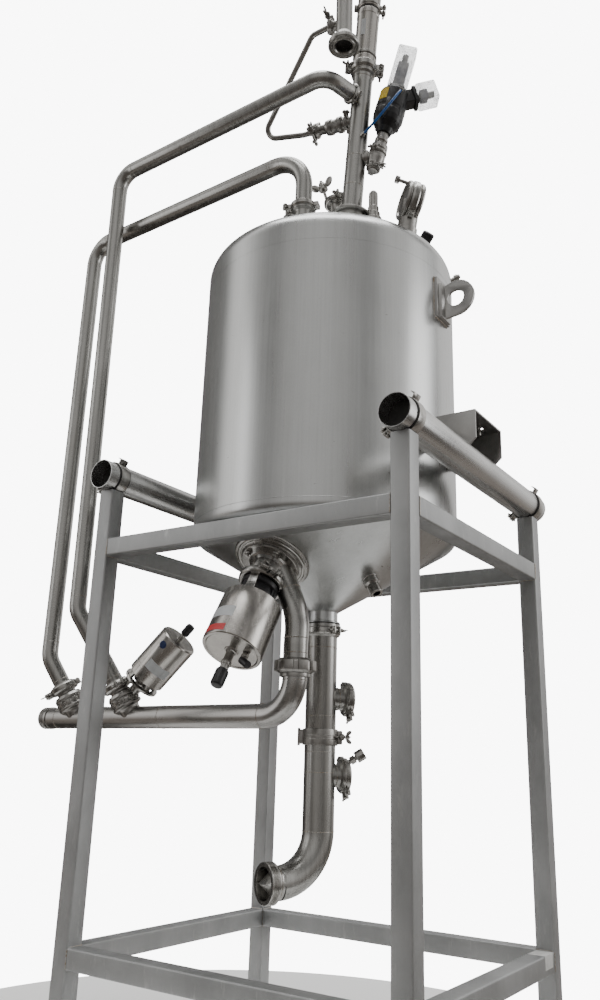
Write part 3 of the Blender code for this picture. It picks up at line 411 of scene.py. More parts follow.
def clamp(shape, line, inner, outer, depth, bolt_way, nut=True, size=1.0, nut_sign=1):
    """A hinged clamp band: two half rings, a hinge, and a swing bolt with its nut on the bolt's side."""
    heading = line.heading
    side = square_to(heading, bolt_way)
    along = heading.cross(side) * nut_sign
    half = depth / 2
    outline = [(inner, half), (outer - 0.005, half), (outer, half * 0.55), (outer, -half * 0.55),
               (outer - 0.005, -half), (inner, -half)]
    turned(shape, line, outline, 0.0015, closed=True)
    lug = line.foot + side * (outer + 0.007 * size)
    for way in (-1, 1):
        bar(shape, (0.024 * size, 0.008 * size, depth * 0.82),
            Line(lug + along * way * 0.011 * size, heading), side, 0.0025, 3)
    bolt = Line(lug + side * 0.003, along)
    rod(shape, 0.0038 * size, bolt.at(-0.021 * size), bolt.at(0.040 * size))
    ball(shape, (0.013 * size, 0.013 * size, 0.010 * size), Line(bolt.at(-0.021 * size), heading))
    if nut:
        wing_nut(shape, bolt.on(0.016 * size), side, size)
    else:
        hex_bolt(shape, bolt.on(0.016 * size), 0.0085 * size, 0.008 * size)
    hinge = Line(line.foot - side * (outer + 0.003), heading)
    bar(shape, (0.014 * size, 0.024 * size, depth * 0.78), hinge, side, 0.0028, 3)
    pin = hinge.foot - side * 0.001
    rod(shape, 0.004, pin - heading * half * 0.95, pin + heading * half * 0.95)


def knob(shape, line, radius, length, ribs=18):
    """A ribbed hand knob with a domed end."""
    outline = [(0.0, length), (radius * 0.84, length), (radius, length * 0.93), (radius, length * 0.08),
               (radius * 0.90, 0.0), (0.0, 0.0)]
    turned(shape, line, outline, 0.002, 48)
    for i in range(ribs):
        work = bmesh.new()
        bmesh.ops.create_cube(work, size=1.0)
        bmesh.ops.scale(work, vec=(radius * 0.10, radius * 0.16, length * 0.78), verts=work.verts)
        bmesh.ops.translate(work, vec=(radius, 0.0, length * 0.48), verts=work.verts)
        turn = Matrix.Rotation(math.tau * i / ribs, 3, "Z")
        bmesh.ops.rotate(work, cent=(0, 0, 0), matrix=turn, verts=work.verts)
        join(shape, work, stand(line))


# Finishes

def maths(operation, swapped=False):
    """An operator of a wire, which adds a Math node."""
    def operator(self, other):
        left, right = (other, self) if swapped else (self, other)
        return self.nodes.node("ShaderNodeMath", {"operation": operation}, {0: left, 1: right})
    return operator


class Wire:
    """One output of a node. Its sums and products add Math nodes."""

    def __init__(self, nodes, socket):
        self.nodes = nodes
        self.socket = socket

    __add__ = maths("ADD")
    __radd__ = maths("ADD", True)
    __sub__ = maths("SUBTRACT")
    __mul__ = maths("MULTIPLY")
    # The turn of a point whose Y is this wire and whose X is the other
    turn_from = maths("ARCTAN2")


class Nodes:
    """The nodes of a finish or of the world."""

    def __init__(self, tree):
        self.tree = tree

    def node(self, kind, settings, values, output=0):
        """Adds a node: its settings, a ramp's stops among them, then its sockets' values or wires."""
        made = self.tree.nodes.new(kind)
        for setting, value in settings.items():
            if setting == "stops":
                elements = made.color_ramp.elements
                while len(elements) < len(value):
                    elements.new(0.5)
                for element, (position, colour) in zip(elements, value):
                    element.position = position
                    element.color = (*colour, 1.0)
            else:
                setattr(made, setting, value)
        for socket, value in values.items():
            if isinstance(value, Wire):
                self.tree.links.new(value.socket, made.inputs[socket])
            else:
                made.inputs[socket].default_value = value
        return Wire(self, made.outputs[output])


class Finish(Nodes):
    """One material and the record's slot that it belongs to."""

    def __init__(self, name, slot, metallic, roughness, **constants):
        self.slot = slot
        self.material = bpy.data.materials.new(name)
        self.material.use_nodes = True
        super().__init__(self.material.node_tree)
        self.shader = self.tree.nodes["Principled BSDF"]
        self.shader.inputs["Metallic"].default_value = metallic
        self.shader.inputs["Roughness"].default_value = roughness
        for socket, value in constants.items():
            self.shader.inputs[socket.replace("_", " ")].default_value = value
        self.place = self.node("ShaderNodeTexCoord", {}, {}, "Object")

    def feed(self, socket, wire):
        """Feeds a socket of the shader."""
        self.tree.links.new(wire.socket, self.shader.inputs[socket])

    def noise(self, scale, detail=3.0, rough=0.6, shift=(0.0, 0.0, 0.0)):
        """Noise on the object's own coordinates, whose scale may differ along X, Y and Z."""
        place = self.node("ShaderNodeMapping", {}, {"Vector": self.place, "Scale": scale, "Location": shift})
        return self.node("ShaderNodeTexNoise", {}, {"Vector": place, "Scale": 1.0, "Detail": detail,
                                                    "Roughness": rough}, "Fac")

    def grain(self, scale, detail=2.0, rough=0.6):
        """Noise of the same scale all ways."""
        return self.noise((scale, scale, scale), detail, rough)

    def span(self, wire, low, high, to_low=0.0, to_high=1.0):
        """The wire's range from low to high carried to another range, and held there beyond it."""
        return self.node("ShaderNodeMapRange", {"clamp": True},
                         {"Value": wire, "From Min": low, "From Max": high, "To Min": to_low,
                          "To Max": to_high})

    def blend(self, mask, one, two):
        """Colour one where the mask is 0, colour two where it is 1."""
        values = {0: mask}
        for socket, colour in ((6, one), (7, two)):
            values[socket] = colour if isinstance(colour, Wire) else (*colour, 1.0)
        return self.node("ShaderNodeMix", {"data_type": "RGBA", "clamp_factor": True}, values, 2)

    def bump(self, height, strength, distance):
        """A bump from a height wire, fed to the shader's normal."""
        self.feed("Normal", self.node("ShaderNodeBump", {}, {"Height": height, "Strength": strength,
                                                             "Distance": distance}, "Normal"))


def steel(name, slot, dark, light, roughness, streak=(60, 60, 4), fleck=420, grime=0.12, bump_depth=0.0001):
    """Stainless steel: long streaks from mill and brush, soft clouds, fine grain and a little grime."""
    finish = Finish(name, slot, 1.0, roughness)
    streaks = finish.noise(streak, 4.0)
    clouds = finish.noise((5, 5, 3.4), 3.0, 0.55, (3.1, 1.7, 0.4))
    grain = finish.grain(fleck)
    marks = finish.noise((13, 13, 4), 5.0, 0.7, (7.0, 2.0, 5.0))
    shade = finish.span(streaks * 0.45 + clouds * 0.4 + grain * 0.15, 0.36, 0.64)
    dirt = finish.span(marks, 0.56, 0.78, 0.0, grime)
    finish.feed("Base Color", finish.blend(dirt, finish.blend(shade, dark, light), (0.42, 0.36, 0.30)))
    finish.feed("Roughness", roughness + (streaks - 0.5) * 0.10 + (grain - 0.5) * 0.10 + dirt * 0.5)
    finish.bump(streaks * 0.5 + grain, 0.35, bump_depth)
    return finish


def plastic(name, slot, dark, light, roughness, fleck=700):
    """Moulded plastic or rubber with a fine grain and light handling wear."""
    finish = Finish(name, slot, 0.0, roughness)
    clouds = finish.grain(14, 3.0)
    grain = finish.grain(fleck)
    finish.feed("Base Color", finish.blend(finish.span(clouds * 0.7 + grain * 0.3, 0.38, 0.62), dark, light))
    finish.feed("Roughness", roughness + (clouds - 0.5) * 0.18 + (grain - 0.5) * 0.10)
    finish.bump(grain, 0.3, 0.0001)
    return finish


def weld_finish():
    """The bead's own bright scales with straw and brown heat tint."""
    finish = Finish("weld_bead", "pipe_steel", 1.0, 0.42)
    scales = finish.grain(160, 2.0, 0.5)
    tint = finish.grain(22, 2.0, 0.5)
    colour = finish.blend(finish.span(tint, 0.40, 0.62), (0.46, 0.43, 0.39), (0.34, 0.27, 0.20))
    finish.feed("Base Color", finish.blend(finish.span(scales, 0.45, 0.6), colour, (0.52, 0.51, 0.49)))
    finish.feed("Roughness", 0.32 + scales * 0.22)
    finish.bump(scales, 0.8, 0.0006)
    return finish


def label_finish(name, slot, ground, faded):
    """A printed foil plate left blank: its ground, a little faded and scuffed."""
    finish = Finish(name, slot, 0.0, 0.45)
    fade = finish.grain(30, 3.0)
    scuffs = finish.noise((260, 260, 60), 3.0, 0.7)
    colour = finish.blend(finish.span(fade, 0.40, 0.65), ground, faded)
    finish.feed("Base Color", finish.blend(finish.span(scuffs, 0.60, 0.75, 0.0, 0.5), colour,
                                           (0.45, 0.44, 0.42)))
    finish.feed("Roughness", 0.35 + fade * 0.25)
    finish.bump(fade, 0.2, 0.0001)
    return finish


def clear_finish():
    """The feedback boxes' smoky clear covers."""
    finish = Finish("clear_moulding", "clear_cover", 0.0, 0.16, Coat_Weight=0.4, Coat_Roughness=0.08)
    cloud = finish.grain(18, 3.0)
    tones = (0.60, 0.62, 0.63), (0.84, 0.85, 0.85)
    finish.feed("Base Color", finish.blend(finish.span(cloud, 0.40, 0.62), *tones))
    finish.feed("Alpha", finish.span(cloud, 0.35, 0.65, 0.52, 0.66))
    finish.feed("Roughness", 0.10 + cloud * 0.14)
    return finish


def tank_finish():
    """The jacket's sheet: soft upright bands, water marks, fine grain and a few dark scuffs."""
    finish = Finish("jacket_sheet", "jacket_steel", 1.0, 0.30)
    bands = finish.noise((9, 9, 0.25), 2.0, 0.5)
    streaks = finish.noise((110, 110, 2.2), 4.0)
    grain = finish.noise((500, 500, 160), 2.0)
    clouds = finish.noise((4, 4, 2.4), 4.0, 0.6, (1.0, 4.0, 2.0))
    shade = finish.span(bands * 0.35 + streaks * 0.20 + clouds * 0.30 + grain * 0.15, 0.38, 0.62)
    colour = finish.blend(shade, (0.495, 0.50, 0.495), (0.635, 0.645, 0.64))
    water = finish.span(finish.noise((46, 46, 3.0), 5.0, 0.75, (5.0, 0.0, 3.0)), 0.60, 0.74, 0.0, 0.35)
    colour = finish.blend(water, colour, (0.68, 0.68, 0.67))
    scuff = finish.span(finish.noise((26, 26, 110), 3.0, 0.6, (2.0, 9.0, 1.0)), 0.735, 0.76, 0.0, 0.75)
    finish.feed("Base Color", finish.blend(scuff, colour, (0.20, 0.18, 0.17)))
    finish.feed("Roughness",
                0.27 + (bands - 0.5) * 0.10 + (streaks - 0.5) * 0.07 + clouds * 0.05 + water * 0.1)
    finish.bump(streaks * 0.4 + grain * 0.6, 0.25, 0.00008)
    return finish


def frame_finish():
    """The frame's satin blasted box section, with handling marks and duller patches."""
    finish = Finish("blasted_section", "frame_paint", 1.0, 0.5)
    clouds = finish.noise((6, 6, 4), 4.0)
    grain = finish.grain(650, 2.0, 0.7)
    rubs = finish.noise((40, 40, 9), 5.0, 0.75, (2.0, 5.0, 1.0))
    shade = finish.span(clouds * 0.6 + grain * 0.4, 0.38, 0.62)
    colour = finish.blend(shade, (0.35, 0.355, 0.355), (0.47, 0.475, 0.475))
    worn = finish.span(rubs, 0.58, 0.72, 0.0, 0.45)
    finish.feed("Base Color", finish.blend(worn, colour, (0.57, 0.57, 0.56)))
    finish.feed("Roughness", 0.52 + (clouds - 0.5) * 0.14 + (grain - 0.5) * 0.12 - worn * 0.2)
    finish.bump(grain, 0.35, 0.0002)
    return finish


TUBE_TONES = (0.33, 0.325, 0.31), (0.50, 0.495, 0.475)

tank_steel = tank_finish()
frame_steel = frame_finish()
pipe_steel = steel("drawn_tube", "pipe_steel", *TUBE_TONES, 0.28)
upright_pipe_steel = steel("satin_tube", "pipe_steel", *TUBE_TONES, 0.29, (90, 90, 2.0))
level_pipe_steel = steel("level_tube", "pipe_steel", (0.38, 0.37, 0.355), (0.50, 0.49, 0.475), 0.29,
                         (2.5, 90, 90), grime=0.06)
support_steel = steel("support_tube_sheet", "pipe_steel", (0.48, 0.48, 0.475), (0.66, 0.66, 0.65), 0.28,
                      (90, 2.0, 90))
fitting_steel = steel("machined_fitting", "fitting_steel", (0.33, 0.32, 0.30), (0.55, 0.54, 0.52), 0.24,
                      (80, 80, 80), 300, 0.30)
cast_steel = steel("cast_fitting", "fitting_steel", (0.29, 0.28, 0.265), (0.48, 0.47, 0.45), 0.32,
                   (30, 30, 30), 240, 0.35, 0.0004)
plate_steel = steel("cut_plate", "fitting_steel", (0.34, 0.335, 0.325), (0.48, 0.475, 0.46), 0.38,
                    (12, 12, 12), grime=0.25)
can_steel = steel("actuator_can", "polished_steel", (0.40, 0.38, 0.355), (0.56, 0.54, 0.51), 0.25,
                  (50, 50, 6))
weld_steel = weld_finish()
black_plastic = plastic("black_moulding", "black_housing", (0.010, 0.010, 0.011), (0.028, 0.028, 0.030),
                        0.36)
# Real rubber parts, and also the thin black discs inside open bores that are painted shade
black_rubber = plastic("black_rubber", "black_housing", (0.012, 0.011, 0.010), (0.034, 0.032, 0.030), 0.62)
hose_blue = plastic("blue_hose", "hose_plastic", (0.005, 0.075, 0.30), (0.010, 0.13, 0.42), 0.30, 500)
plug_blue = plastic("blue_plug", "hose_plastic", (0.010, 0.020, 0.075), (0.020, 0.040, 0.13), 0.35, 500)
clear_cover = clear_finish()
blank_plate = label_finish("blank_plate", "clear_cover", (0.60, 0.62, 0.63), (0.52, 0.54, 0.55))
red_strip = label_finish("red_strip", "hose_plastic", (0.62, 0.035, 0.040), (0.52, 0.05, 0.05))
amber_patch = label_finish("amber_patch", "black_housing", (0.80, 0.58, 0.02), (0.70, 0.48, 0.03))
tape_pale = label_finish("tape_remnant", "clear_cover", (0.66, 0.66, 0.64), (0.56, 0.56, 0.54))


# Camera and the air hose come first

def make_camera():
    """The photograph's own view: place, aim and focal length."""
    right = Vector((0.83074879, 0.55582227, 0.03029944))
    down = Vector((-0.13872329, 0.25944033, -0.95574398))
    forward = Vector((-0.53908468, 0.78977992, 0.29263523))
    data = bpy.data.cameras.new("camera")
    data.sensor_fit = "VERTICAL"
    data.sensor_height = 36.0
    data.lens = 30.916
    data.clip_start = 0.05
    camera = bpy.data.objects.new("camera", data)
    bpy.context.scene.collection.objects.link(camera)
    turn = Matrix((right, -down, -forward)).transposed().to_4x4()
    camera.matrix_world = Matrix.Translation(spot((1.57576, -2.46949, 0.94002))) @ turn
    bpy.context.scene.camera = camera


def make_air_hose():
    """The short air hose that hangs from the actuator's shoulder to the front of the riser."""
    end = riser_point(RAIL_TOP + 2.726) + HOSE_OUT * (RISER_RADIUS + 0.0013)
    first = HOSE_START + VIEW_FRONT * 0.050 - CONTROL.heading * 0.045 + VIEW_RIGHT * 0.004
    second = end + (VIEW_RIGHT * 0.55 + VIEW_FRONT * 0.84) * 0.075
    points = interpolate_bezier(HOSE_START, first, second, end, 13)
    hose = piece("air_hose_run", only(pipe, points, HOSE_RADIUS, 20), hose_blue, "air_hose")
    ends = bmesh.new()
    for line in (Line(HOSE_START, first - HOSE_START), Line(end, second - end)):
        ring(ends, line, 0.0, 0.0085, -0.006, 0.008, 0.001, 24)
        ring(ends, line, 0.0, 0.0065, 0.006, 0.016, 0.001, 24)
    piece("air_hose_ferrules", ends, fitting_steel)


# Frame and supports

def make_frame():
    """Each leg and rail as a box section with rounded long edges. A leg also has its foot plate."""
    for name in sorted(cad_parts):
        if not name.startswith(("leg_", "lower_rail", "upper_rail")):
            continue
        low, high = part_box(name)
        middle = (low + high) / 2
        size = high - low
        shape = bmesh.new()
        if name.startswith("leg_"):
            size = Vector((SECTION, SECTION, LEG_TOP - FOOT_THICK))
            middle.z = (LEG_TOP + FOOT_THICK) / 2
            foot = Line((middle.x - AXIS_X, middle.y, FOOT_THICK / 2))
            bar(shape, (FOOT_WIDTH, FOOT_WIDTH, FOOT_THICK), foot, ACROSS, 0.0015)
        work = bmesh.new()
        bmesh.ops.create_cube(work, size=1.0)
        bmesh.ops.scale(work, vec=size, verts=work.verts)
        edges = [edge for edge in work.edges if edge.calc_length() > max(size) * 0.99]
        bmesh.ops.bevel(work, geom=edges, offset=0.0055, segments=4, profile=0.5, affect="EDGES",
                        material=-1)
        join(shape, work, Matrix.Translation(middle))
        piece(name + "_section", shape, frame_steel, name)


def make_frame_welds():
    """The fillet welds where rails meet legs, and legs meet their foot plates."""
    shape = bmesh.new()
    half = SECTION / 2
    reach = half - 0.004
    seams = []
    for x, y in ((x_side * LEG_X, y_side * LEG_Y) for x_side, y_side in LEG_SIDES):
        for top in (RAIL_TOP, UPPER_RAIL_TOP):
            height = top - half
            seams += [(Vector((x - math.copysign(half, x), y, height)), ALONG, UP, 0.0022),
                      (Vector((x, y - math.copysign(half, y), height)), ACROSS, UP, 0.0022)]
        seams.append((Vector((x, y, FOOT_THICK + 0.0005)), ACROSS, ALONG, 0.0035))
    for middle, one, two, thick in seams:
        for out, run in ((one, two), (two, one)):
            for sign in (-1, 1):
                seam = middle + out * sign * half
                rod(shape, thick, seam - run * reach, seam + run * reach, 0, 10)
    piece("frame_welds", shape, weld_steel)


def make_supports():
    """The two support tubes, with a thin black disc deep inside each end as painted shade for the dark bore,
    and the straps that hold them.
    """
    for name, side in (("left", -1), ("right", 1)):
        tube = Line((side * LEG_X, 0.0, TUBE_HEIGHT), ALONG)
        shape = only(ring, tube, TUBE_BORE, TUBE_RADIUS, -TUBE_HALF, TUBE_HALF, 0.0006)
        piece(f"support_tube_{name}_run", shape, support_steel, f"support_tube_{name}")
        # Thin black discs set 55 mm inside each end: painted shade that keeps the bore dark
        bore_shade_discs = bmesh.new()
        for end in (-1, 1):
            ring(bore_shade_discs, tube.on(end * (TUBE_HALF - 0.055)), 0.0, TUBE_BORE - 0.0002, -0.001, 0.001, 0)
        piece(f"support_tube_{name}_plugs", bore_shade_discs, black_rubber)
    make_straps()


def make_straps():
    """The strap over each leg that holds a support tube: rubber liner, band, bolted ears and a stop tab."""
    band = bmesh.new()
    liner = bmesh.new()
    ear = Vector((math.cos(math.radians(212)), 0.0, math.sin(math.radians(212))))
    tab = Vector((math.cos(math.radians(58)), 0.0, math.sin(math.radians(58))))
    for x_side, y_side in LEG_SIDES:
        tube = Line((x_side * LEG_X, y_side * LEG_Y + 0.004, TUBE_HEIGHT), ALONG)
        ring(liner, tube, TUBE_RADIUS, TUBE_RADIUS + 0.0026, -0.024, 0.024, 0.0006)
        ring(band, tube, TUBE_RADIUS + 0.0024, TUBE_RADIUS + 0.0052, -0.0195, 0.0195, 0.0006)
        for way, size, out, shift in ((ear, (0.024, 0.003, 0.036), 0.015, -0.006),
                                      (ear, (0.024, 0.003, 0.036), 0.015, 0.006),
                                      (tab, (0.020, 0.003, 0.038), 0.012, 0.002),
                                      (tab, (0.003, 0.018, 0.030), 0.021, -0.006)):
            middle = tube.foot + way * (TUBE_RADIUS + out) + ALONG.cross(way) * shift
            bar(band, size, Line(middle, ALONG), way, 0.0008)
        for shift in (-0.009, 0.009):
            bolt = Line(tube.at(shift) + ear * (TUBE_RADIUS + 0.018), ALONG.cross(ear))
            rod(band, 0.003, bolt.at(-0.014), bolt.at(0.018), 0, 16)
            hex_bolt(band, bolt.on(0.0075), 0.0065, 0.006)
    piece("support_straps", band, fitting_steel)
    piece("strap_liners", liner, black_rubber)


def plate_copy(name, width):
    """A welded copy of a flat-faced solid, with its edges eased."""
    shape = bmesh.new()
    shape.from_mesh(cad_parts[name].data)
    bmesh.ops.remove_doubles(shape, verts=shape.verts, dist=0.00002)
    bmesh.ops.dissolve_limit(shape, angle_limit=math.radians(0.5), verts=shape.verts, edges=shape.edges)
    edges = [edge for edge in shape.edges
             if len(edge.link_faces) == 2 and edge.calc_face_angle() > math.radians(40)]
    bmesh.ops.bevel(shape, geom=edges, offset=width, segments=2, profile=0.5, affect="EDGES", material=-1,
                    clamp_overlap=True)
    piece(name + "_plate", shape, plate_steel, name)


def shell_x(y):
    """How far the tank's wall is from its middle along X, at a distance along Y."""
    return math.sqrt(TANK_RADIUS ** 2 - y ** 2)


def make_brackets_and_lugs():
    """The brackets and lifting lugs, the brackets' bolts, and their welds on the tank's wall."""
    for side in ("left", "right"):
        plate_copy(f"bracket_{side}", 0.0006)
        plate_copy(f"lifting_lug_{side}", 0.0008)
    bolts = bmesh.new()
    welds = bmesh.new()
    for side, shift in ((-1, LEFT_BRACKET_SHIFT), (1, 0.0)):
        bolt = Line((side * (LEG_X + 0.004), shift - 0.070, RAIL_TOP + 1.620))
        hex_bolt(bolts, bolt, 0.009, 0.007)
        bolt = Line(bolt.foot + ALONG * 0.114)
        hex_bolt(bolts, bolt, 0.011, 0.008)
        rod(bolts, 0.006, bolt.at(-0.030), bolt.at(0.012))
        for middle, reach, low, high, thick in ((shift, 0.110, 1.505, 1.620, 0.0028),
                                                (0.0, 0.050, 2.020, 2.172, 0.0030)):
            for y in (middle - reach, middle + reach):
                foot = Line((side * shell_x(y), y, RAIL_TOP))
                rod(welds, thick, foot.at(low), foot.at(high), 0, 10)
        for middle, reach, height in ((shift, 0.110, 1.620), (0.0, 0.050, 2.020), (0.0, 0.050, 2.172)):
            places = [middle + reach * (step / 7 - 1) for step in range(15)]
            points = [Vector((side * (shell_x(y) + 0.001), y, RAIL_TOP + height)) for y in places]
            pipe(welds, points, 0.0028, 8)
    piece("bracket_bolts", bolts, fitting_steel)
    piece("bracket_and_lug_welds", welds, weld_steel)


# Tank

TANK = Line((0.0, 0.0, 0.0))
ROOF_RISE = math.sqrt((ROOF_CROWN - ROOF_KNUCKLE) ** 2 - (TANK_RADIUS - ROOF_KNUCKLE) ** 2)


def roof_height(radius):
    """The height of the dished roof's outer face at a radius."""
    return SHELL_TOP - ROOF_RISE + math.sqrt(ROOF_CROWN ** 2 - radius ** 2)


def roof_line(offset):
    """The dished roof's outline from its middle to its rim, at an offset from its outer face."""
    meeting = math.atan2(ROOF_RISE, TANK_RADIUS - ROOF_KNUCKLE)
    crown = arc((0.0, SHELL_TOP - ROOF_RISE), ROOF_CROWN + offset, math.pi / 2, meeting, 24)
    knuckle = arc((TANK_RADIUS - ROOF_KNUCKLE, SHELL_TOP), ROOF_KNUCKLE + offset, meeting, 0.0, 16)
    return [(0.0, crown[0][1])] + crown[1:] + knuckle[1:]


def make_tank():
    """The jacket, the dished roof, the cone bottom with its outlet flange, and the seams between them."""
    steps = 160
    inner = TANK_RADIUS - TANK_WALL
    levels = 12
    outline = [(TANK_RADIUS, SHELL_TOP + (SHELL_BOTTOM - SHELL_TOP) * i / levels) for i in range(levels + 1)]
    outline += [(inner, SHELL_BOTTOM), (inner, SHELL_TOP)]
    piece("tank_jacket", only(turned, TANK, outline, 0, steps, True), tank_steel, "tank_shell")
    outline = roof_line(0.0) + roof_line(-TANK_WALL)[::-1]
    piece("tank_dished_roof", only(turned, TANK, outline, 0, steps), tank_steel, "tank_roof")

    centre = (TANK_RADIUS - CONE_KNUCKLE, SHELL_BOTTOM)
    outside = arc(centre, CONE_KNUCKLE, 0.0, CONE_SLOPE - math.pi / 2, 14)
    radius, height = outside[-1]
    low = height - (radius - OUTLET_RADIUS) * math.tan(CONE_SLOPE)
    flare = SPOOL_BOTTOM + 0.007
    outside += [(OUTLET_RADIUS, low), (OUTLET_RADIUS, flare), (FERRULE_RADIUS - 0.001, flare - 0.003),
                (FERRULE_RADIUS, flare - 0.005), (FERRULE_RADIUS, SPOOL_BOTTOM)]
    bore = OUTLET_RADIUS - TANK_WALL
    inside = [(bore, SPOOL_BOTTOM), (bore, low + 0.002), (inner - CONE_KNUCKLE * 0.5, height + 0.004),
              (inner, SHELL_BOTTOM)]
    shape = only(turned, TANK, outside + inside, 0, steps, True)
    piece("tank_cone_bottom", shape, tank_steel, "tank_cone")

    seams = bmesh.new()
    ring(seams, TANK.on(SHELL_TOP - 0.055), TANK_RADIUS - 0.002, TANK_RADIUS + 0.0003, -0.003, 0.003, 0,
         steps)
    bead(seams, TANK.on(SHELL_BOTTOM + 0.012), TANK_RADIUS - 0.0004, 0.0009, steps)
    bead(seams, TANK.on(low + 0.0005), OUTLET_RADIUS + 0.0003, 0.0018)
    piece("tank_seam_welds", seams, tank_steel)


def make_roof_details():
    """The small sensor, the nuts and the knob that stand on the roof round the riser."""
    shape = bmesh.new()
    sensor = Line((0.300, -0.200, roof_height(0.361) - 0.006))
    turned(shape, sensor, mm((0, 128), (10, 127), (15.5, 119), (16.5, 108), (16.5, 64), (19.5, 60),
                             (19.5, 40), (24, 36), (24, 18), (30, 14), (30, 0), (0, 0)), 0.0012, 40)
    neck = Line((0.135, -0.170, roof_height(0.217) - 0.006), (-0.12, 0.06, 1.0))
    turned(shape, neck, solid((36, 134), (36, 112), (26, 106), (26, 0)), 0.0015, 48)
    clamp(shape, neck.on(0.122), 0.034, 0.044, 0.022, VIEW_RIGHT * 0.3 + VIEW_FRONT, False, 1.2)
    swing = Line(neck.at(0.122) - VIEW_RIGHT * 0.030, UP - VIEW_RIGHT * 0.30)
    rod(shape, 0.0058, swing.at(-0.012), swing.at(0.100))
    wing_nut(shape, swing.on(0.058), VIEW_RIGHT + VIEW_FRONT * 0.5, 2.1)
    tip = Line((0.395, 0.215, roof_height(0.4497) - 0.012), (0.80, 0.42, 0.55))
    rod(shape, 0.009, tip.foot, tip.at(0.050))
    rod(shape, 0.013, tip.at(0.030), tip.at(0.042))
    piece("roof_fittings", shape, fitting_steel)
    shape = bmesh.new()
    stalk = Line((0.364, 0.074, roof_height(0.371)))
    grip = Line(stalk.at(0.055), (0.62, -0.25, 0.55))
    knob(shape, grip, 0.022, 0.038, 8)
    rod(shape, 0.008, stalk.at(-0.01), grip.at(0.006))
    piece("roof_black_knob", shape, black_plastic)


def make_roof_port():
    """The clamped sight port on the roof's right shoulder."""
    face = Line((0.400, -0.106, RAIL_TOP + 2.462), (-0.666, -0.727, 0.169))
    shape = bmesh.new()
    turned(shape, face, solid((53, 25), (57, 31), (67, 31), (71, 25), (71, 18), (66, 16), (66, -16),
                              (71, -18), (71, -25), (67, -31)), 0.0018)
    stem = Line(face.foot, (0.20, -0.05, 1.0))
    turned(shape, stem, mm((34, 0), (34, -100), (38, -102), (38, -150), (0, -150), (0, 0)), 0.0012, 48)
    piece("roof_port_body", shape, cast_steel, "roof_port")
    band = bmesh.new()
    clamp(band, face, 0.065, 0.074, 0.030, (-0.45, 0.10, 0.9), False, 1.1)
    bolt = Line(face.foot + square_to(face.heading, UP) * 0.079 - VIEW_RIGHT * 0.006, face.heading)
    rod(band, 0.0065, bolt.at(0.010), bolt.at(0.058))
    rod(band, 0.0140, bolt.at(0.050), bolt.at(0.066), 0.003)
    piece("roof_port_clamp", band, fitting_steel)


# Outlet line

def port(shape, bands, height, reach, bolt_way):
    """A capped port on the back of the outlet line, with its clamp."""
    face = Line(PORT_WAY * reach + UP * height, PORT_WAY)
    outline = mm((0, 4), (30, 3), (46, -2), (50, -8), (50, -22), (44, -29), (36, -34))
    turned(shape, face, outline + [(0.036, -reach), (0.0, -reach)], 0.002)
    clamp(bands, face.on(-0.015), 0.048, 0.056, 0.026, bolt_way, False)


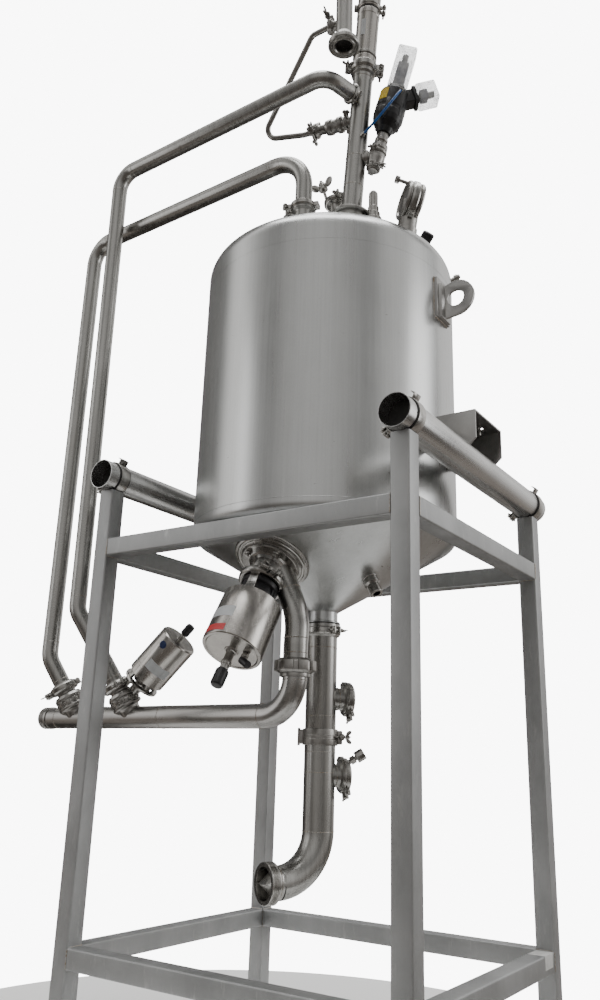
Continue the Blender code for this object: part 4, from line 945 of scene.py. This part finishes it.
def make_outlet():
    """The outlet line under the cone: spool, elbow, threaded mouth, the joint's clamp and two ports."""
    joint = TANK.on(OUTLET_JOINT)
    upper = bmesh.new()
    bands = bmesh.new()
    top = SPOOL_BOTTOM - 0.0003
    band_low = RAIL_TOP + 0.952
    outline = [(0.0, top), (FERRULE_RADIUS, top), (FERRULE_RADIUS, band_low + 0.004),
               (OUTLET_RADIUS, band_low - 0.003), (OUTLET_RADIUS, OUTLET_JOINT + 0.001),
               (0.0, OUTLET_JOINT + 0.001)]
    turned(upper, TANK, outline, 0.0015, 80)
    port(upper, bands, UPPER_PORT, UPPER_REACH, (0.45, -0.35, -0.85))
    piece("outlet_spool", upper, upright_pipe_steel, "outlet_pipe_upper")
    clamp(bands, TANK.on(RAIL_TOP + 0.969), FERRULE_RADIUS - 0.001, FERRULE_RADIUS + 0.0030, 0.030,
          (0.95, -0.31, 0))

    lower = bmesh.new()
    pipe(lower, bent_points([joint.at(-0.001), OUTLET_KNEE, MOUTH.at(-0.046)], [0.150], 24), OUTLET_RADIUS,
         64)
    port(lower, bands, LOWER_PORT, LOWER_REACH, (0.45, -0.35, -0.90))
    piece("outlet_elbow", lower, upright_pipe_steel, "outlet_pipe_lower")
    mouth = bmesh.new()
    outline = mm((48, 0), (60, 0), (62, -2), *thread(-3, 6, 62, 60, (0, 1.26, 2.16, 3.06)), (62, -26),
                 (62, -30), (50.8, -36), (49.8, -50), (48, -50))
    turned(mouth, MOUTH, outline, 0, 80, True)
    ring(mouth, MOUTH, 0.0, 0.049, -0.050, -0.044, 0)
    piece("outlet_thread", mouth, fitting_steel)
    # A thin black disc just inside the mouth: painted shade for the dark bore beyond it
    piece("outlet_bore_painted_shade", only(ring, MOUTH, 0.0, 0.0475, -0.0445, -0.0425, 0), black_rubber)

    shape = bmesh.new()
    ring(shape, joint, OUTLET_RADIUS + 0.0003, 0.0580, -0.026, 0.026, 0.003, 80)
    for shift in (-0.006, 0.006):
        bead(shape, joint.on(shift), 0.0575, 0.0016)
    for way, size in ((-VIEW_RIGHT, (0.020, 0.030, 0.046)), (VIEW_RIGHT, (0.018, 0.024, 0.044))):
        bar(shape, size, Line(joint.foot + way * 0.064), way, 0.004, 3)
    pin = Line(joint.foot - VIEW_RIGHT * 0.070)
    rod(shape, 0.0045, pin.at(-0.028), pin.at(0.028))
    bolt = Line(joint.at(0.002) + VIEW_RIGHT * 0.071, (0.30, -0.45, 0.0))
    rod(shape, 0.0048, bolt.at(-0.026), bolt.at(0.040))
    wing_nut(shape, bolt.on(0.014), VIEW_RIGHT, 1.35)
    wing_nut(shape, Line(bolt.foot + VIEW_RIGHT * 0.012, VIEW_RIGHT), UP)
    piece("outlet_clamp_halves", shape, cast_steel, "outlet_clamp")

    welds = bmesh.new()
    for height in (RAIL_TOP + 0.914, RAIL_TOP + 0.690, OUTLET_JOINT - 0.046, OUTLET_JOINT - 0.110,
                   RAIL_TOP + 0.334):
        bead(welds, TANK.on(height), OUTLET_RADIUS - 0.0002, 0.0012)
    for height, reach in ((UPPER_PORT, 0.056), (LOWER_PORT, 0.051)):
        bead(welds, Line(PORT_WAY * reach + UP * height, PORT_WAY), 0.0362, 0.0016)
    bead(welds, MOUTH.on(-0.040), OUTLET_RADIUS - 0.0002, 0.0014)
    piece("outlet_welds", welds, weld_steel)

    cock = Line(PORT_WAY * (LOWER_REACH - 0.010) + UP * (LOWER_PORT + 0.034), (0.75, 0.45, 0.55))
    rod(bands, 0.008, cock.foot, cock.at(0.060))
    ring(bands, cock, 0.0, 0.015, 0.022, 0.040, 0.002, 6)
    ring(bands, cock, 0.0, 0.020, 0.044, 0.074, 0.003, 10)
    piece("outlet_clamps", bands, fitting_steel)
    seal = only(ring, TANK.on(SPOOL_BOTTOM), OUTLET_RADIUS, FERRULE_RADIUS + 0.0004, -0.0046, -0.0006,
                0.0006)
    piece("outlet_gasket", seal, black_rubber)


# Drain valve

def make_drain_valve():
    """The drain valve on the cone: flange, clamp, yoke, round actuator, stem and knob."""
    shape = bmesh.new()
    turned(shape, DRAIN, solid((50, 112), (50, 92), (58, 88), (58, 40), (62, 31), (68, 27), (94, 26),
                               (96, 24), (96, 12), (104, 10.5), (106, 12.5), (112, 12.5), (115, 10.5),
                               (122, 10), (124, 8), (124, -30)), 0.0015, 80)
    bead(shape, DRAIN.on(0.001), 0.124, 0.003)
    for i in range(5):
        bolt = DRAIN.on(0.026, 0.0830, 72 * i - 2)
        hex_bolt(shape, bolt, 0.0115, 0.011)
        rod(shape, 0.0055, bolt.foot, bolt.at(0.020))
    piece("drain_valve_flange", shape, fitting_steel, "drain_valve_body")

    shape = bmesh.new()
    clamp(shape, DRAIN.on(0.098), 0.056, 0.0765, 0.024, DRAIN.side(-62), True, 1.25)
    turned(shape, DRAIN, mm((60, 183), (66, 182), (66, 170), (60, 168), (0, 168), (0, 183)), closed=True)
    for degrees in (75, 255):
        bar(shape, (0.012, 0.030, 0.070), DRAIN.on(0.142, 0.056, degrees), DRAIN.side(degrees), 0.002)
    piece("drain_valve_clamp", shape, fitting_steel)

    shape = bmesh.new()
    turned(shape, DRAIN, solid((52, 168), (54, 150), (50, 132), (60, 128), (62, 112)), 0.002, 48)
    for degrees in range(-20, 290, 62):
        bar(shape, (0.010, 0.018, 0.046), DRAIN.on(0.140, 0.053, degrees), DRAIN.side(degrees), 0.002)
    piece("drain_valve_yoke", shape, black_plastic)

    outline = solid((20, 366.5), (22, 364), (80, 364), (84, 367), (91.5, 367), (94, 364), (94, 186),
                    (91.5, 183.5), (84, 183.5), (82, 186))
    piece("drain_valve_can", only(turned, DRAIN, outline, 0.0012, 96), can_steel, "drain_valve_actuator")

    shape = bmesh.new()
    turned(shape, DRAIN, solid((14, 436), (14, 418), (16, 416), (16, 404), (13, 402), (13, 372), (17, 370),
                               (17, 364)), 0.0012, 40)
    elbow = DRAIN.on(0.366, 0.046, -8)
    rod(shape, 0.010, elbow.foot, elbow.at(0.030))
    hex_bolt(shape, elbow, 0.012, 0.012, False)
    piece("drain_valve_stem", shape, fitting_steel)

    shape = bmesh.new()
    knob(shape, DRAIN.on(0.433), 0.0190, 0.056)
    socket = Line(elbow.at(0.024), DRAIN.side(-8) * 0.5 + VIEW_FRONT * 0.4 - UP * 0.3)
    rod(shape, 0.0115, socket.at(-0.008), socket.at(0.030), 0.002)
    piece("drain_valve_knob", shape, black_plastic)
    piece("drain_can_plate", only(wrapped_plate, DRAIN, 0.0941, 0.268, 0.305, -168, -100), blank_plate)
    piece("drain_can_strip", only(wrapped_plate, DRAIN, 0.0941, 0.335, 0.358, -168, -105), red_strip)


# Manifold and product pipes

def make_manifold():
    """The drain's elbow, its union nut and the level manifold with a threaded cap."""
    start = Vector((0.004, -0.263, RAIL_TOP + 1.140))
    corner = Vector((0.0805, -0.268, RAIL_TOP + 0.970))
    drop = Line(DROP + UP * (UNION_TOP - 0.0003))
    route = bent_points([start, corner, drop.at(0.045), drop.foot], [0.260, 0.095], 20)
    piece("drain_elbow", only(pipe, route, MANIFOLD_RADIUS, 56), pipe_steel, "drain_pipe")

    nut = bmesh.new()
    foot = Line(DROP + UP * UNION_BOTTOM)
    height = UNION_TOP - UNION_BOTTOM - 0.0006
    outline = [(0.0, height), (0.047, height), (0.056, height - 0.010), (0.057, height - 0.012),
               (0.057, 0.007), (0.050, 0.0), (0.0, 0.0)]
    turned(nut, foot, outline, 0.0015)
    for i in range(8):
        way = level_way(45 * i + 13.5)
        land = Line(foot.at(height / 2 - 0.001) + way * 0.0575)
        bar(nut, (0.012, 0.031, height - 0.014), land, way, 0.0025, 3)
    ring(nut, foot, MANIFOLD_RADIUS, 0.046, -0.012, 0.0)
    piece("drain_union_nut", nut, cast_steel, "union_nut")

    run = bmesh.new()
    top = Line(DROP + UP * (UNION_BOTTOM - 0.0003))
    cap = MANIFOLD.on(MANIFOLD_REACH - 0.040)
    pipe(run, bent_points([top.foot, MANIFOLD.foot, cap.foot], [0.114], 24), MANIFOLD_RADIUS, 56)
    turned(run, cap, solid((33, 40), (36, 38), *thread(36, 8, 40.5, 38.8, (0.6, 1.4, 2.4, 3.2)), (41, 6),
                           (41, -4)), 0)
    piece("manifold_run", run, level_pipe_steel, "manifold_pipe")

    welds = bmesh.new()
    bead(welds, Line(start, corner - start).on(0.088), MANIFOLD_RADIUS - 0.0002, 0.0013)
    for line in (drop.on(0.062), drop.on(0.016), top.on(-0.020), MANIFOLD.on(0.118), MANIFOLD.on(0.560),
                 MANIFOLD.on(0.865), MANIFOLD.on(1.120)):
        bead(welds, line, MANIFOLD_RADIUS - 0.0002, 0.0012)
    piece("manifold_welds", welds, weld_steel)


def make_union(name, along, knee, bolt_way):
    """A clamped union between the manifold and a product pipe: saddle, valve body, ribbed nut and clamp."""
    union = Line(MANIFOLD.at(along), knee - MANIFOLD.at(along))
    shape = bmesh.new()
    turned(shape, union.on(BRANCH_LENGTH), solid((40, 0), (41, -30), (34, -36), (34, -42), (46, -46),
                                                 (52, -56), (52, -64), (48, -66), (48, -86), (52, -90),
                                                 (52, -98), (38, -104), (36, -112), (36, -132)), 0.0015)
    side = union.heading.cross(ALONG).normalized()
    other = union.heading.cross(side)
    for i in range(12):
        angle = math.tau * i / 12
        way = side * math.cos(angle) + other * math.sin(angle)
        bar(shape, (0.008, 0.014, 0.020), Line(union.at(0.066) + way * 0.0475, union.heading), way, 0.002)
    piece(name + "_body", shape, cast_steel, name)
    bands = bmesh.new()
    clamp(bands, union.on(BRANCH_LENGTH - 0.018), 0.040, 0.0525, 0.026, bolt_way, True, 1.1)
    clamp(bands, union.on(0.066), 0.046, 0.0500, 0.012, -bolt_way, False, 0.8)
    piece(name + "_clamps", bands, fitting_steel)
    return union


def product_pipe(name, corners, bends, welds, places):
    """A product pipe through its corners, and the welds on each leg: after its start and before its end."""
    piece(name + "_run", only(pipe, bent_points(corners, bends, 18), PIPE_RADIUS, 48), pipe_steel, name)
    lines = [Line(corners[0], corners[1] - corners[0]).on(0.014)]
    for start, end, (after, before) in zip(corners[1:], corners[2:], places):
        lines += [Line(start, end - start).on(after), Line(end, end - start).on(-before)]
    for line in lines:
        bead(welds, line, PIPE_RADIUS - 0.0002, 0.0010, 48)


def make_product_pipes():
    """The return pipe to the roof's nozzle and the supply pipe to the riser, with unions and welds."""
    welds = bmesh.new()
    knee = RETURN_DROP + UP * (RAIL_TOP + 0.890)
    union = make_union("return_union", 1.015, knee, -VIEW_RIGHT)
    run = UP * (RAIL_TOP + 2.668)
    nozzle = Line(RETURN_NOZZLE + UP * RETURN_CLAMP)
    corners = [union.at(BRANCH_LENGTH + 0.0003), knee, RETURN_DROP + run, RETURN_NOZZLE + run,
               nozzle.at(0.0003)]
    product_pipe("return_pipe", corners, [0.095, 0.095, 0.140], welds, ((0.060, 0.100), (0.100, 0.146)))

    shape = bmesh.new()
    outline = mm((0, 0), (40, 0), (40, -30), (31, -36))
    turned(shape, nozzle, outline + [(PIPE_RADIUS, -0.040), (PIPE_RADIUS, -0.160), (0.0, -0.160)], 0.0015)
    foot = RETURN_NOZZLE + UP * (roof_height(RETURN_NOZZLE.length) + 0.001)
    bead(shape, Line(foot), PIPE_RADIUS + 0.001, 0.003)
    piece("return_nozzle_stub", shape, upright_pipe_steel, "return_nozzle")
    bands = only(clamp, nozzle.on(-0.013), 0.039, 0.0465, 0.024, (-0.95, -0.30, 0), True, 1.35, -1)
    piece("return_nozzle_clamp", bands, fitting_steel)

    knee = SUPPLY_DROP + UP * (RAIL_TOP + 1.040)
    union = make_union("supply_union", 0.713, knee, VIEW_RIGHT * 0.4 + VIEW_FRONT)
    corner = TEE.at((SUPPLY_DROP.y - TEE.foot.y) / TEE.heading.y)
    top = SUPPLY_DROP + UP * (RAIL_TOP + 2.893) - ACROSS * 0.014
    corners = [union.at(BRANCH_LENGTH + 0.0003), knee, top, corner, TEE.at(TEE_REACH + 0.0003)]
    product_pipe("supply_pipe", corners, [0.076] * 3, welds, ((0.050, 0.080), (0.080, 0.100)))
    piece("product_pipe_welds", welds, weld_steel)
    make_branch_actuator(Line(union.at(0.065), (0.70, 0.10, 0.70)))


def make_branch_actuator(branch):
    """The supply union's round actuator, with its yoke, stem, knob, plug and blank plate."""
    shape = bmesh.new()
    turned(shape, branch, solid((12, 298), (13, 297), (58, 297), (64, 296), (68, 291), (68, 118), (66, 116),
                                (62, 116), (62, 175)), 0.0012, 80)
    for height in (0.150, 0.158):
        bead(shape, branch.on(height), 0.0676, 0.0008)
    piece("branch_can", shape, can_steel, "branch_actuator")
    yoke = bmesh.new()
    turned(yoke, branch, solid((24, 180), (24, 110), (34, 106), (34, 90), (20, 86), (20, 45)), 0.0015, 48)
    ring(yoke, branch, 0.046, 0.0665, 0.086, 0.094)
    for degrees in (-30, -120, -210, -300):
        bar(yoke, (0.010, 0.022, 0.060), branch.on(0.112, 0.052, degrees), branch.side(degrees), 0.002)
    piece("branch_yoke", yoke, fitting_steel)
    piece("branch_stem", only(turned, branch, solid((8, 322), (8, 296)), 0.0006, 24), fitting_steel)
    piece("branch_knob", only(knob, branch.on(0.318), 0.0145, 0.042, 14), black_plastic)
    toward = square_to(branch.heading, VIEW_FRONT)
    out = (toward * 0.93 + branch.heading.cross(toward) * -0.25).normalized()
    outline = mm((0, 1.5), (8, 1.8), (12.5, 0.8), (14.5, -2), (0, -3))
    plug = only(turned, Line(branch.at(0.262) + out * 0.0685, out), outline, 0.0005, 32)
    piece("branch_plug", plug, plug_blue)
    piece("branch_plate", only(wrapped_plate, branch, 0.0681, 0.165, 0.200, 45, 120), blank_plate)


# Riser, check valve, swan neck and bypass

def make_riser():
    """The leaning riser with its flange, the tee for the supply pipe and the bypass's small valve."""
    shape = bmesh.new()
    outline = [(0.0, RISER_TOP), (CHECK_RADIUS, RISER_TOP), (CHECK_RADIUS, RISER_TOP - 0.010),
               (RISER_RADIUS, RISER_TOP - 0.016), (RISER_RADIUS, -0.044)]
    outline += mm((41, -48.5), (70, -50), (72, -52), (72, -59), (66, -61), (56, -63), (56, -160), (0, -160))
    turned(shape, RISER, outline, 0.0015, 72)
    turned(shape, TEE.on(TEE_REACH), solid((36, 0), (36, -7), (29, -10), (29, -50)))
    piece("riser_tube", shape, upright_pipe_steel, "riser_pipe")

    valve = bmesh.new()
    turned(valve, BYPASS.on(BYPASS_REACH), solid((24, 0), (24, -18), (18, -22), (18, -48), (27, -54),
                                                 (29, -64), (29, -76), (25, -80), (25, -98), (30, -102),
                                                 (30, -118), (22, -124), (20, -128), (26, -134), (26, -142),
                                                 (20, -146), (18, -188)), 0.0012, 48)
    clamp(valve, BYPASS.on(BYPASS_REACH - 0.008), 0.022, 0.0290, 0.018, (-0.2, -0.5, -1.0), True, 1.35)
    clamp(valve, BYPASS.on(0.050), 0.023, 0.0290, 0.014, (0.1, -0.6, 0.8), False, 0.9)
    piece("bypass_valve", valve, cast_steel)

    bands = bmesh.new()
    clamp(bands, TEE.on(TEE_REACH - 0.001), 0.031, 0.0385, 0.016, VIEW_RIGHT - UP, False, 0.8)
    for i in range(8):
        bolt = Line(RISER.at(-0.0505) + level_way(45 * i + 22.5) * 0.058, RISER.heading)
        hex_bolt(bands, bolt, 0.0060, 0.005)
    piece("riser_clamps", bands, fitting_steel)
    welds = bmesh.new()
    for distance in (0.066, 0.190, 0.545):
        bead(welds, RISER.on(distance), RISER_RADIUS - 0.0002, 0.0011, 48)
    piece("riser_welds", welds, weld_steel)


def make_check_valve():
    """The check valve on the riser, with its clamps, seal and blank plate."""
    foot = RISER.on(RISER_TOP + 0.0003)
    top = CHECK_TOP - RISER_TOP - 0.0003
    outline = [(0.0, top), (CHECK_RADIUS, top)]
    outline += mm((44, 300), (40.5, 298), (40, 288), (44, 286), (44, 262), (42.5, 260), (42.5, 64), (44, 60),
                  (44, 0), (0, 0))
    piece("check_valve_body", only(turned, foot, outline, 0.0015, 72), can_steel, "check_valve")
    bands = bmesh.new()
    clamp(bands, foot.on(0.022), 0.043, 0.0520, 0.034, VIEW_RIGHT, False, 1.3)
    clamp(bands, foot.on(0.022), 0.043, 0.0515, 0.030, -VIEW_RIGHT)
    clamp(bands, foot.on(0.312), 0.042, 0.0475, 0.020, VIEW_RIGHT, False)
    ring(bands, foot, 0.042, 0.0455, 0.068, 0.080)
    piece("check_valve_clamps", bands, fitting_steel)
    piece("check_valve_seal", only(ring, foot, 0.039, 0.0424, 0.289, 0.297, 0.0006), black_rubber)
    piece("check_valve_plate", only(wrapped_plate, foot, 0.0427, 0.150, 0.225, 100, 124), blank_plate)


def make_swan_neck():
    """The swan neck over the roof with its open mouth, and the bypass tube that meets it."""
    mouth = Line(FILL_PIPE + UP * FILL_MOUTH)
    rise = riser_point(SWAN_TOP)
    fall = FILL_PIPE + UP * SWAN_TOP
    bend = (fall - rise).length / 2.15
    route = bent_points([RISER.at(CHECK_TOP + 0.0003), rise, fall, mouth.at(0.030)], [bend, bend], 24)
    shape = bmesh.new()
    pipe(shape, route, PIPE_RADIUS, 48)
    outline = [(PIPE_RADIUS, 0.056), (PIPE_RADIUS + 0.005, 0.046)]
    outline += mm((46, 28), (52, 24), (56.5, 18), (57, 4), (54, 0.5), (50, 0), (46, 3), (42.5, 3), (40, 0),
                  (34, 0), (31, 4), (29, 10), (29, 50))
    turned(shape, mouth, outline, 0.0012, 72, True)
    piece("swan_neck_pipe", shape, upright_pipe_steel, "swan_neck")
    # A thin black disc just inside the open mouth: painted shade for the dark bore beyond it
    piece("fill_bore_painted_shade", only(ring, mouth, 0.0, 0.0295, 0.026, 0.029, 0), black_rubber)

    shape = bmesh.new()
    stub = Line(FILL_PIPE + UP * BYPASS_TOP, -ACROSS)
    turned(shape, stub, solid((17, 60), (17, 46), (10, 42), (10, 20)), 0.001, 32)
    clamp(shape, Line(stub.at(0.056), ACROSS), 0.016, 0.0250, 0.017, (0, -0.3, 1.0), True, 1.15)
    rod(shape, 0.012, stub.at(0.060) - UP * 0.03, stub.at(0.060) + UP * 0.03, 0.002)
    piece("bypass_stub", shape, cast_steel)
    corners = [stub.at(0.0603), Vector((0.118, FILL_PIPE.y, BYPASS_TOP)),
               Vector((-0.172, -0.255, RAIL_TOP + 2.875)), BYPASS.at(BYPASS_REACH + 0.0503),
               BYPASS.at(BYPASS_REACH + 0.0003)]
    tube = only(pipe, bent_points(corners, [0.035] * 3), 0.0105, 28)
    piece("bypass_line", tube, fitting_steel, "bypass_tube")


# Control valve

def make_control_valve():
    """The control valve: casting, black housing, two clear feedback boxes and what shows inside them."""
    shape = bmesh.new()
    turned(shape, CONTROL, solid((21, 160), (21, 138), (24, 136), (24, 126), (20, 122), (23, 116),
                                 (30, 108), (31, 90), (28, 86), (28, 70), (31, 66), (31, 50), (24, 24),
                                 (22, 20), (22, 4), (18, 0)), 0.0012, 48)
    joint = CONTROL.at(0.062)
    link = Line(riser_point(joint.z), joint - riser_point(joint.z))
    rod(shape, 0.024, link.at(0.020), joint)
    ring(shape, link, 0.0, 0.029, 0.037, 0.049)
    clamp(shape, CONTROL.on(0.012), 0.020, 0.0260, 0.016, VIEW_FRONT + VIEW_RIGHT * 0.3, True, 0.9)
    clamp(shape, CONTROL.on(0.078), 0.027, 0.0325, 0.014, VIEW_FRONT - VIEW_RIGHT * 0.6, False, 0.8)
    piece("control_valve_casting", shape, cast_steel, "control_valve_body")

    black = bmesh.new()
    housing = CONTROL.on(0.1603)
    head = housing.on(0.1923)
    across = housing.side(0)
    turned(black, housing, solid((38, 192), (40, 184), (54.5, 172), (55, 104), (53.5, 100), (53.5, 88),
                                 (55, 84), (55, 62), (50, 44), (44, 34), (32, 20), (26, 0)), 0.002, 64)
    for i in range(6):
        turn = -60 * i - math.degrees(0.3)
        bar(black, (0.012, 0.016, 0.058), housing.on(0.092, 0.050, turn), housing.side(turn), 0.003)
        hex_bolt(black, Line(housing.at(0.040, 0.044, turn), -housing.heading), 0.006, 0.006)
    bar(black, (0.070, 0.062, 0.020), housing.on(0.182), across, 0.004, 3)

    # The side box's arm rises from the axis's right, and its boxes stand square to the arm
    lift = math.radians(31)
    arm = Line(CONTROL.at(0.298), across * math.cos(lift) + CONTROL.heading * math.sin(lift))
    arm_top = CONTROL.heading * math.cos(lift) - across * math.sin(lift)

    def on_arm(out, rise=0.001):
        return Line(arm.at(out) + arm_top * rise, arm_top)

    bar(black, (0.060, 0.050, 0.054), on_arm(0.062), arm.heading, 0.004, 3)
    bar(black, (0.014, 0.062, 0.066), on_arm(0.086), arm.heading, 0.003, 3)
    piece("control_valve_housing", black, black_plastic, "control_valve_actuator")
    cover = only(bar, (0.072, 0.062, 0.190), head.on(0.095), across, 0.008, 4)
    piece("feedback_cover_top", cover, clear_cover, "feedback_box_top")
    cover = only(bar, (0.0757, 0.068, 0.078), on_arm(0.13215), arm.heading, 0.008, 4)
    piece("feedback_cover_side", cover, clear_cover, "feedback_box_side")

    blocks = bmesh.new()
    bar(blocks, (0.040, 0.034, 0.120), head.on(0.066), across, 0.003)
    bar(blocks, (0.030, 0.044, 0.030), on_arm(0.120, 0.0), arm.heading, 0.003)
    piece("feedback_inner_blocks", blocks, plug_blue)
    stems = bmesh.new()
    bar(stems, (0.056, 0.046, 0.010), head.on(0.012), across, 0.002)
    bar(stems, (0.020, 0.050, 0.014), head.on(0.140), across, 0.002)
    rod(stems, 0.010, head.at(0.020), head.at(0.165))
    rod(stems, 0.012, arm.at(0.100), arm.at(0.160))
    piece("feedback_inner_stems", stems, fitting_steel)
    patch = only(wrapped_plate, housing, 0.0552, 0.118, 0.164, 114, 154, 0.0008)
    piece("control_valve_patch", patch, amber_patch)
    fitting = bmesh.new()
    rod(fitting, 0.0085, HOSE_START - HOSE_OUT * 0.014, HOSE_START + HOSE_OUT * 0.003)
    ball(fitting, (0.018, 0.018, 0.018), Line(HOSE_START))
    piece("control_valve_air_fitting", fitting, fitting_steel)


# Small pieces

def make_cone_fitting():
    """The small threaded fitting on the cone's right side."""
    radius = 0.208
    out = level_way(-10.5)
    height = SHELL_BOTTOM - 0.0374 - (0.4386 - radius) * math.tan(CONE_SLOPE)
    line = Line(out * radius + UP * height, out * math.sin(CONE_SLOPE) - UP * math.cos(CONE_SLOPE))
    shape = bmesh.new()
    outline = mm((13, 60), (20.5, 60), *thread(58, 9, 21.2, 19.8, (0, 1.2, 2.2, 3.0)), (26.2, 20),
                 (26.2, -20), (13, -20))
    turned(shape, line, outline, 0, 48, True)
    bead(shape, line, 0.0262, 0.0025, 40)
    piece("cone_fitting_thread", shape, fitting_steel, "cone_fitting")
    # A thin black disc just inside the bore: painted shade for its dark depth
    piece("cone_fitting_bore_painted_shade", only(ring, line, 0.0, 0.0134, 0.004, 0.008, 0, 32), black_rubber)


def make_tape():
    """A remnant of packing tape on the right low rail, by the rear leg."""
    shape = bmesh.new()
    bar(shape, (0.052, 0.078, 0.0006), Line((LEG_X + 0.004, 0.405, RAIL_TOP + 0.0002)), ACROSS, 0.0002)
    bar(shape, (0.0006, 0.070, 0.040), Line((LEG_X + SECTION / 2 + 0.0002, 0.403, RAIL_TOP - 0.020)), ACROSS,
        0.0002)
    piece("leg_tape", shape, tape_pale)


# Floor and light

def make_floor():
    """The round pale floor."""
    material = bpy.data.materials.new("pale_floor")
    material.use_nodes = True
    shader = material.node_tree.nodes["Principled BSDF"]
    shader.inputs["Base Color"].default_value = (0.80, 0.80, 0.79, 1.0)
    shader.inputs["Roughness"].default_value = 0.9
    work = bmesh.new()
    bmesh.ops.create_circle(work, cap_ends=True, segments=96, radius=1.45)
    mesh = bpy.data.meshes.new("floor")
    work.to_mesh(mesh)
    work.free()
    mesh.materials.append(material)
    floor = bpy.data.objects.new("floor", mesh)
    bpy.context.scene.collection.objects.link(floor)


# The studio's light and dark panels: the share of the full turn, seen from above, and how bright each is
PANELS = ((0.000, 0.10), (0.045, 0.12), (0.060, 1.20), (0.105, 1.05), (0.125, 0.50), (0.155, 0.42),
          (0.178, 0.24), (0.206, 0.24), (0.226, 0.50), (0.300, 0.56), (0.395, 0.46), (0.420, 0.22),
          (0.455, 0.26), (0.475, 0.60), (0.600, 0.75), (0.618, 0.16), (0.650, 0.16), (0.670, 1.00),
          (0.760, 0.85), (0.850, 0.20), (1.000, 0.10))
WORLD_LIGHT = 1.10
BACKDROP_LIGHT = 9.0


def make_world():
    """Light from all round: soft upright panels with darker gaps, darker from below than from above."""
    world = bpy.data.worlds.new("studio")
    bpy.context.scene.world = world
    world.use_nodes = True
    nodes = Nodes(world.node_tree)
    link = nodes.tree.links.new
    place = nodes.node("ShaderNodeTexCoord", {}, {}, "Generated")
    across, along, up = (nodes.node("ShaderNodeSeparateXYZ", {}, {0: place}, axis) for axis in "XYZ")
    stops = [(share, (level, level * 0.985, level * 0.965)) for share, level in PANELS]
    panels = nodes.node("ShaderNodeValToRGB", {"stops": stops},
                        {0: along.turn_from(across) * (1 / math.tau) + 0.5})
    panels.socket.node.color_ramp.interpolation = "EASE"
    stops = [(0.38, (0.27, 0.245, 0.225)), (0.62, (1.0, 1.0, 1.0))]
    height = nodes.node("ShaderNodeValToRGB", {"stops": stops}, {0: up * 0.5 + 0.5})
    colour = nodes.node("ShaderNodeMix", {"data_type": "RGBA", "blend_type": "MULTIPLY"},
                        {0: 1.0, 6: panels, 7: height}, 2)
    ground = nodes.tree.nodes["Background"]
    ground.inputs["Strength"].default_value = WORLD_LIGHT
    link(colour.socket, ground.inputs["Color"])
    seen = nodes.node("ShaderNodeBackground", {}, {"Color": (1.0, 1.0, 1.0, 1.0),
                                                   "Strength": BACKDROP_LIGHT})
    camera_ray = nodes.node("ShaderNodeLightPath", {}, {}, "Is Camera Ray")
    mix = nodes.node("ShaderNodeMixShader", {}, {0: camera_ray, 1: Wire(nodes, ground.outputs[0]), 2: seen})
    link(mix.socket, nodes.tree.nodes["World Output"].inputs["Surface"])


def make_light(name, place, width, height, power):
    """A soft panel that faces the tank's upper half."""
    data = bpy.data.lights.new(name, "AREA")
    data.shape = "RECTANGLE"
    data.size = width
    data.size_y = height
    data.energy = power
    light = bpy.data.objects.new(name, data)
    bpy.context.scene.collection.objects.link(light)
    turn = (spot((0.0, 0.0, 2.0)) - spot(place)).to_track_quat("-Z", "Y")
    light.matrix_world = Matrix.Translation(spot(place)) @ turn.to_matrix().to_4x4()


def make_lights():
    """A panel on either side and a wide soft light from overhead."""
    make_light("left_panel", (-3.0, -3.6, 2.6), 0.7, 3.5, 14)
    make_light("right_panel", (3.8, 2.0, 2.8), 1.8, 3.6, 46)
    overhead = bpy.data.lights.new("overhead", "SUN")
    overhead.energy = 2.4
    overhead.angle = math.radians(50)
    bpy.context.scene.collection.objects.link(bpy.data.objects.new("overhead", overhead))


make_camera()
make_air_hose()
make_frame()
make_frame_welds()
make_supports()
make_brackets_and_lugs()
make_tank()
make_roof_details()
make_roof_port()
make_outlet()
make_drain_valve()
make_manifold()
make_product_pipes()
make_riser()
make_check_valve()
make_swan_neck()
make_control_valve()
make_cone_fitting()
make_tape()
make_floor()
make_world()
make_lights()
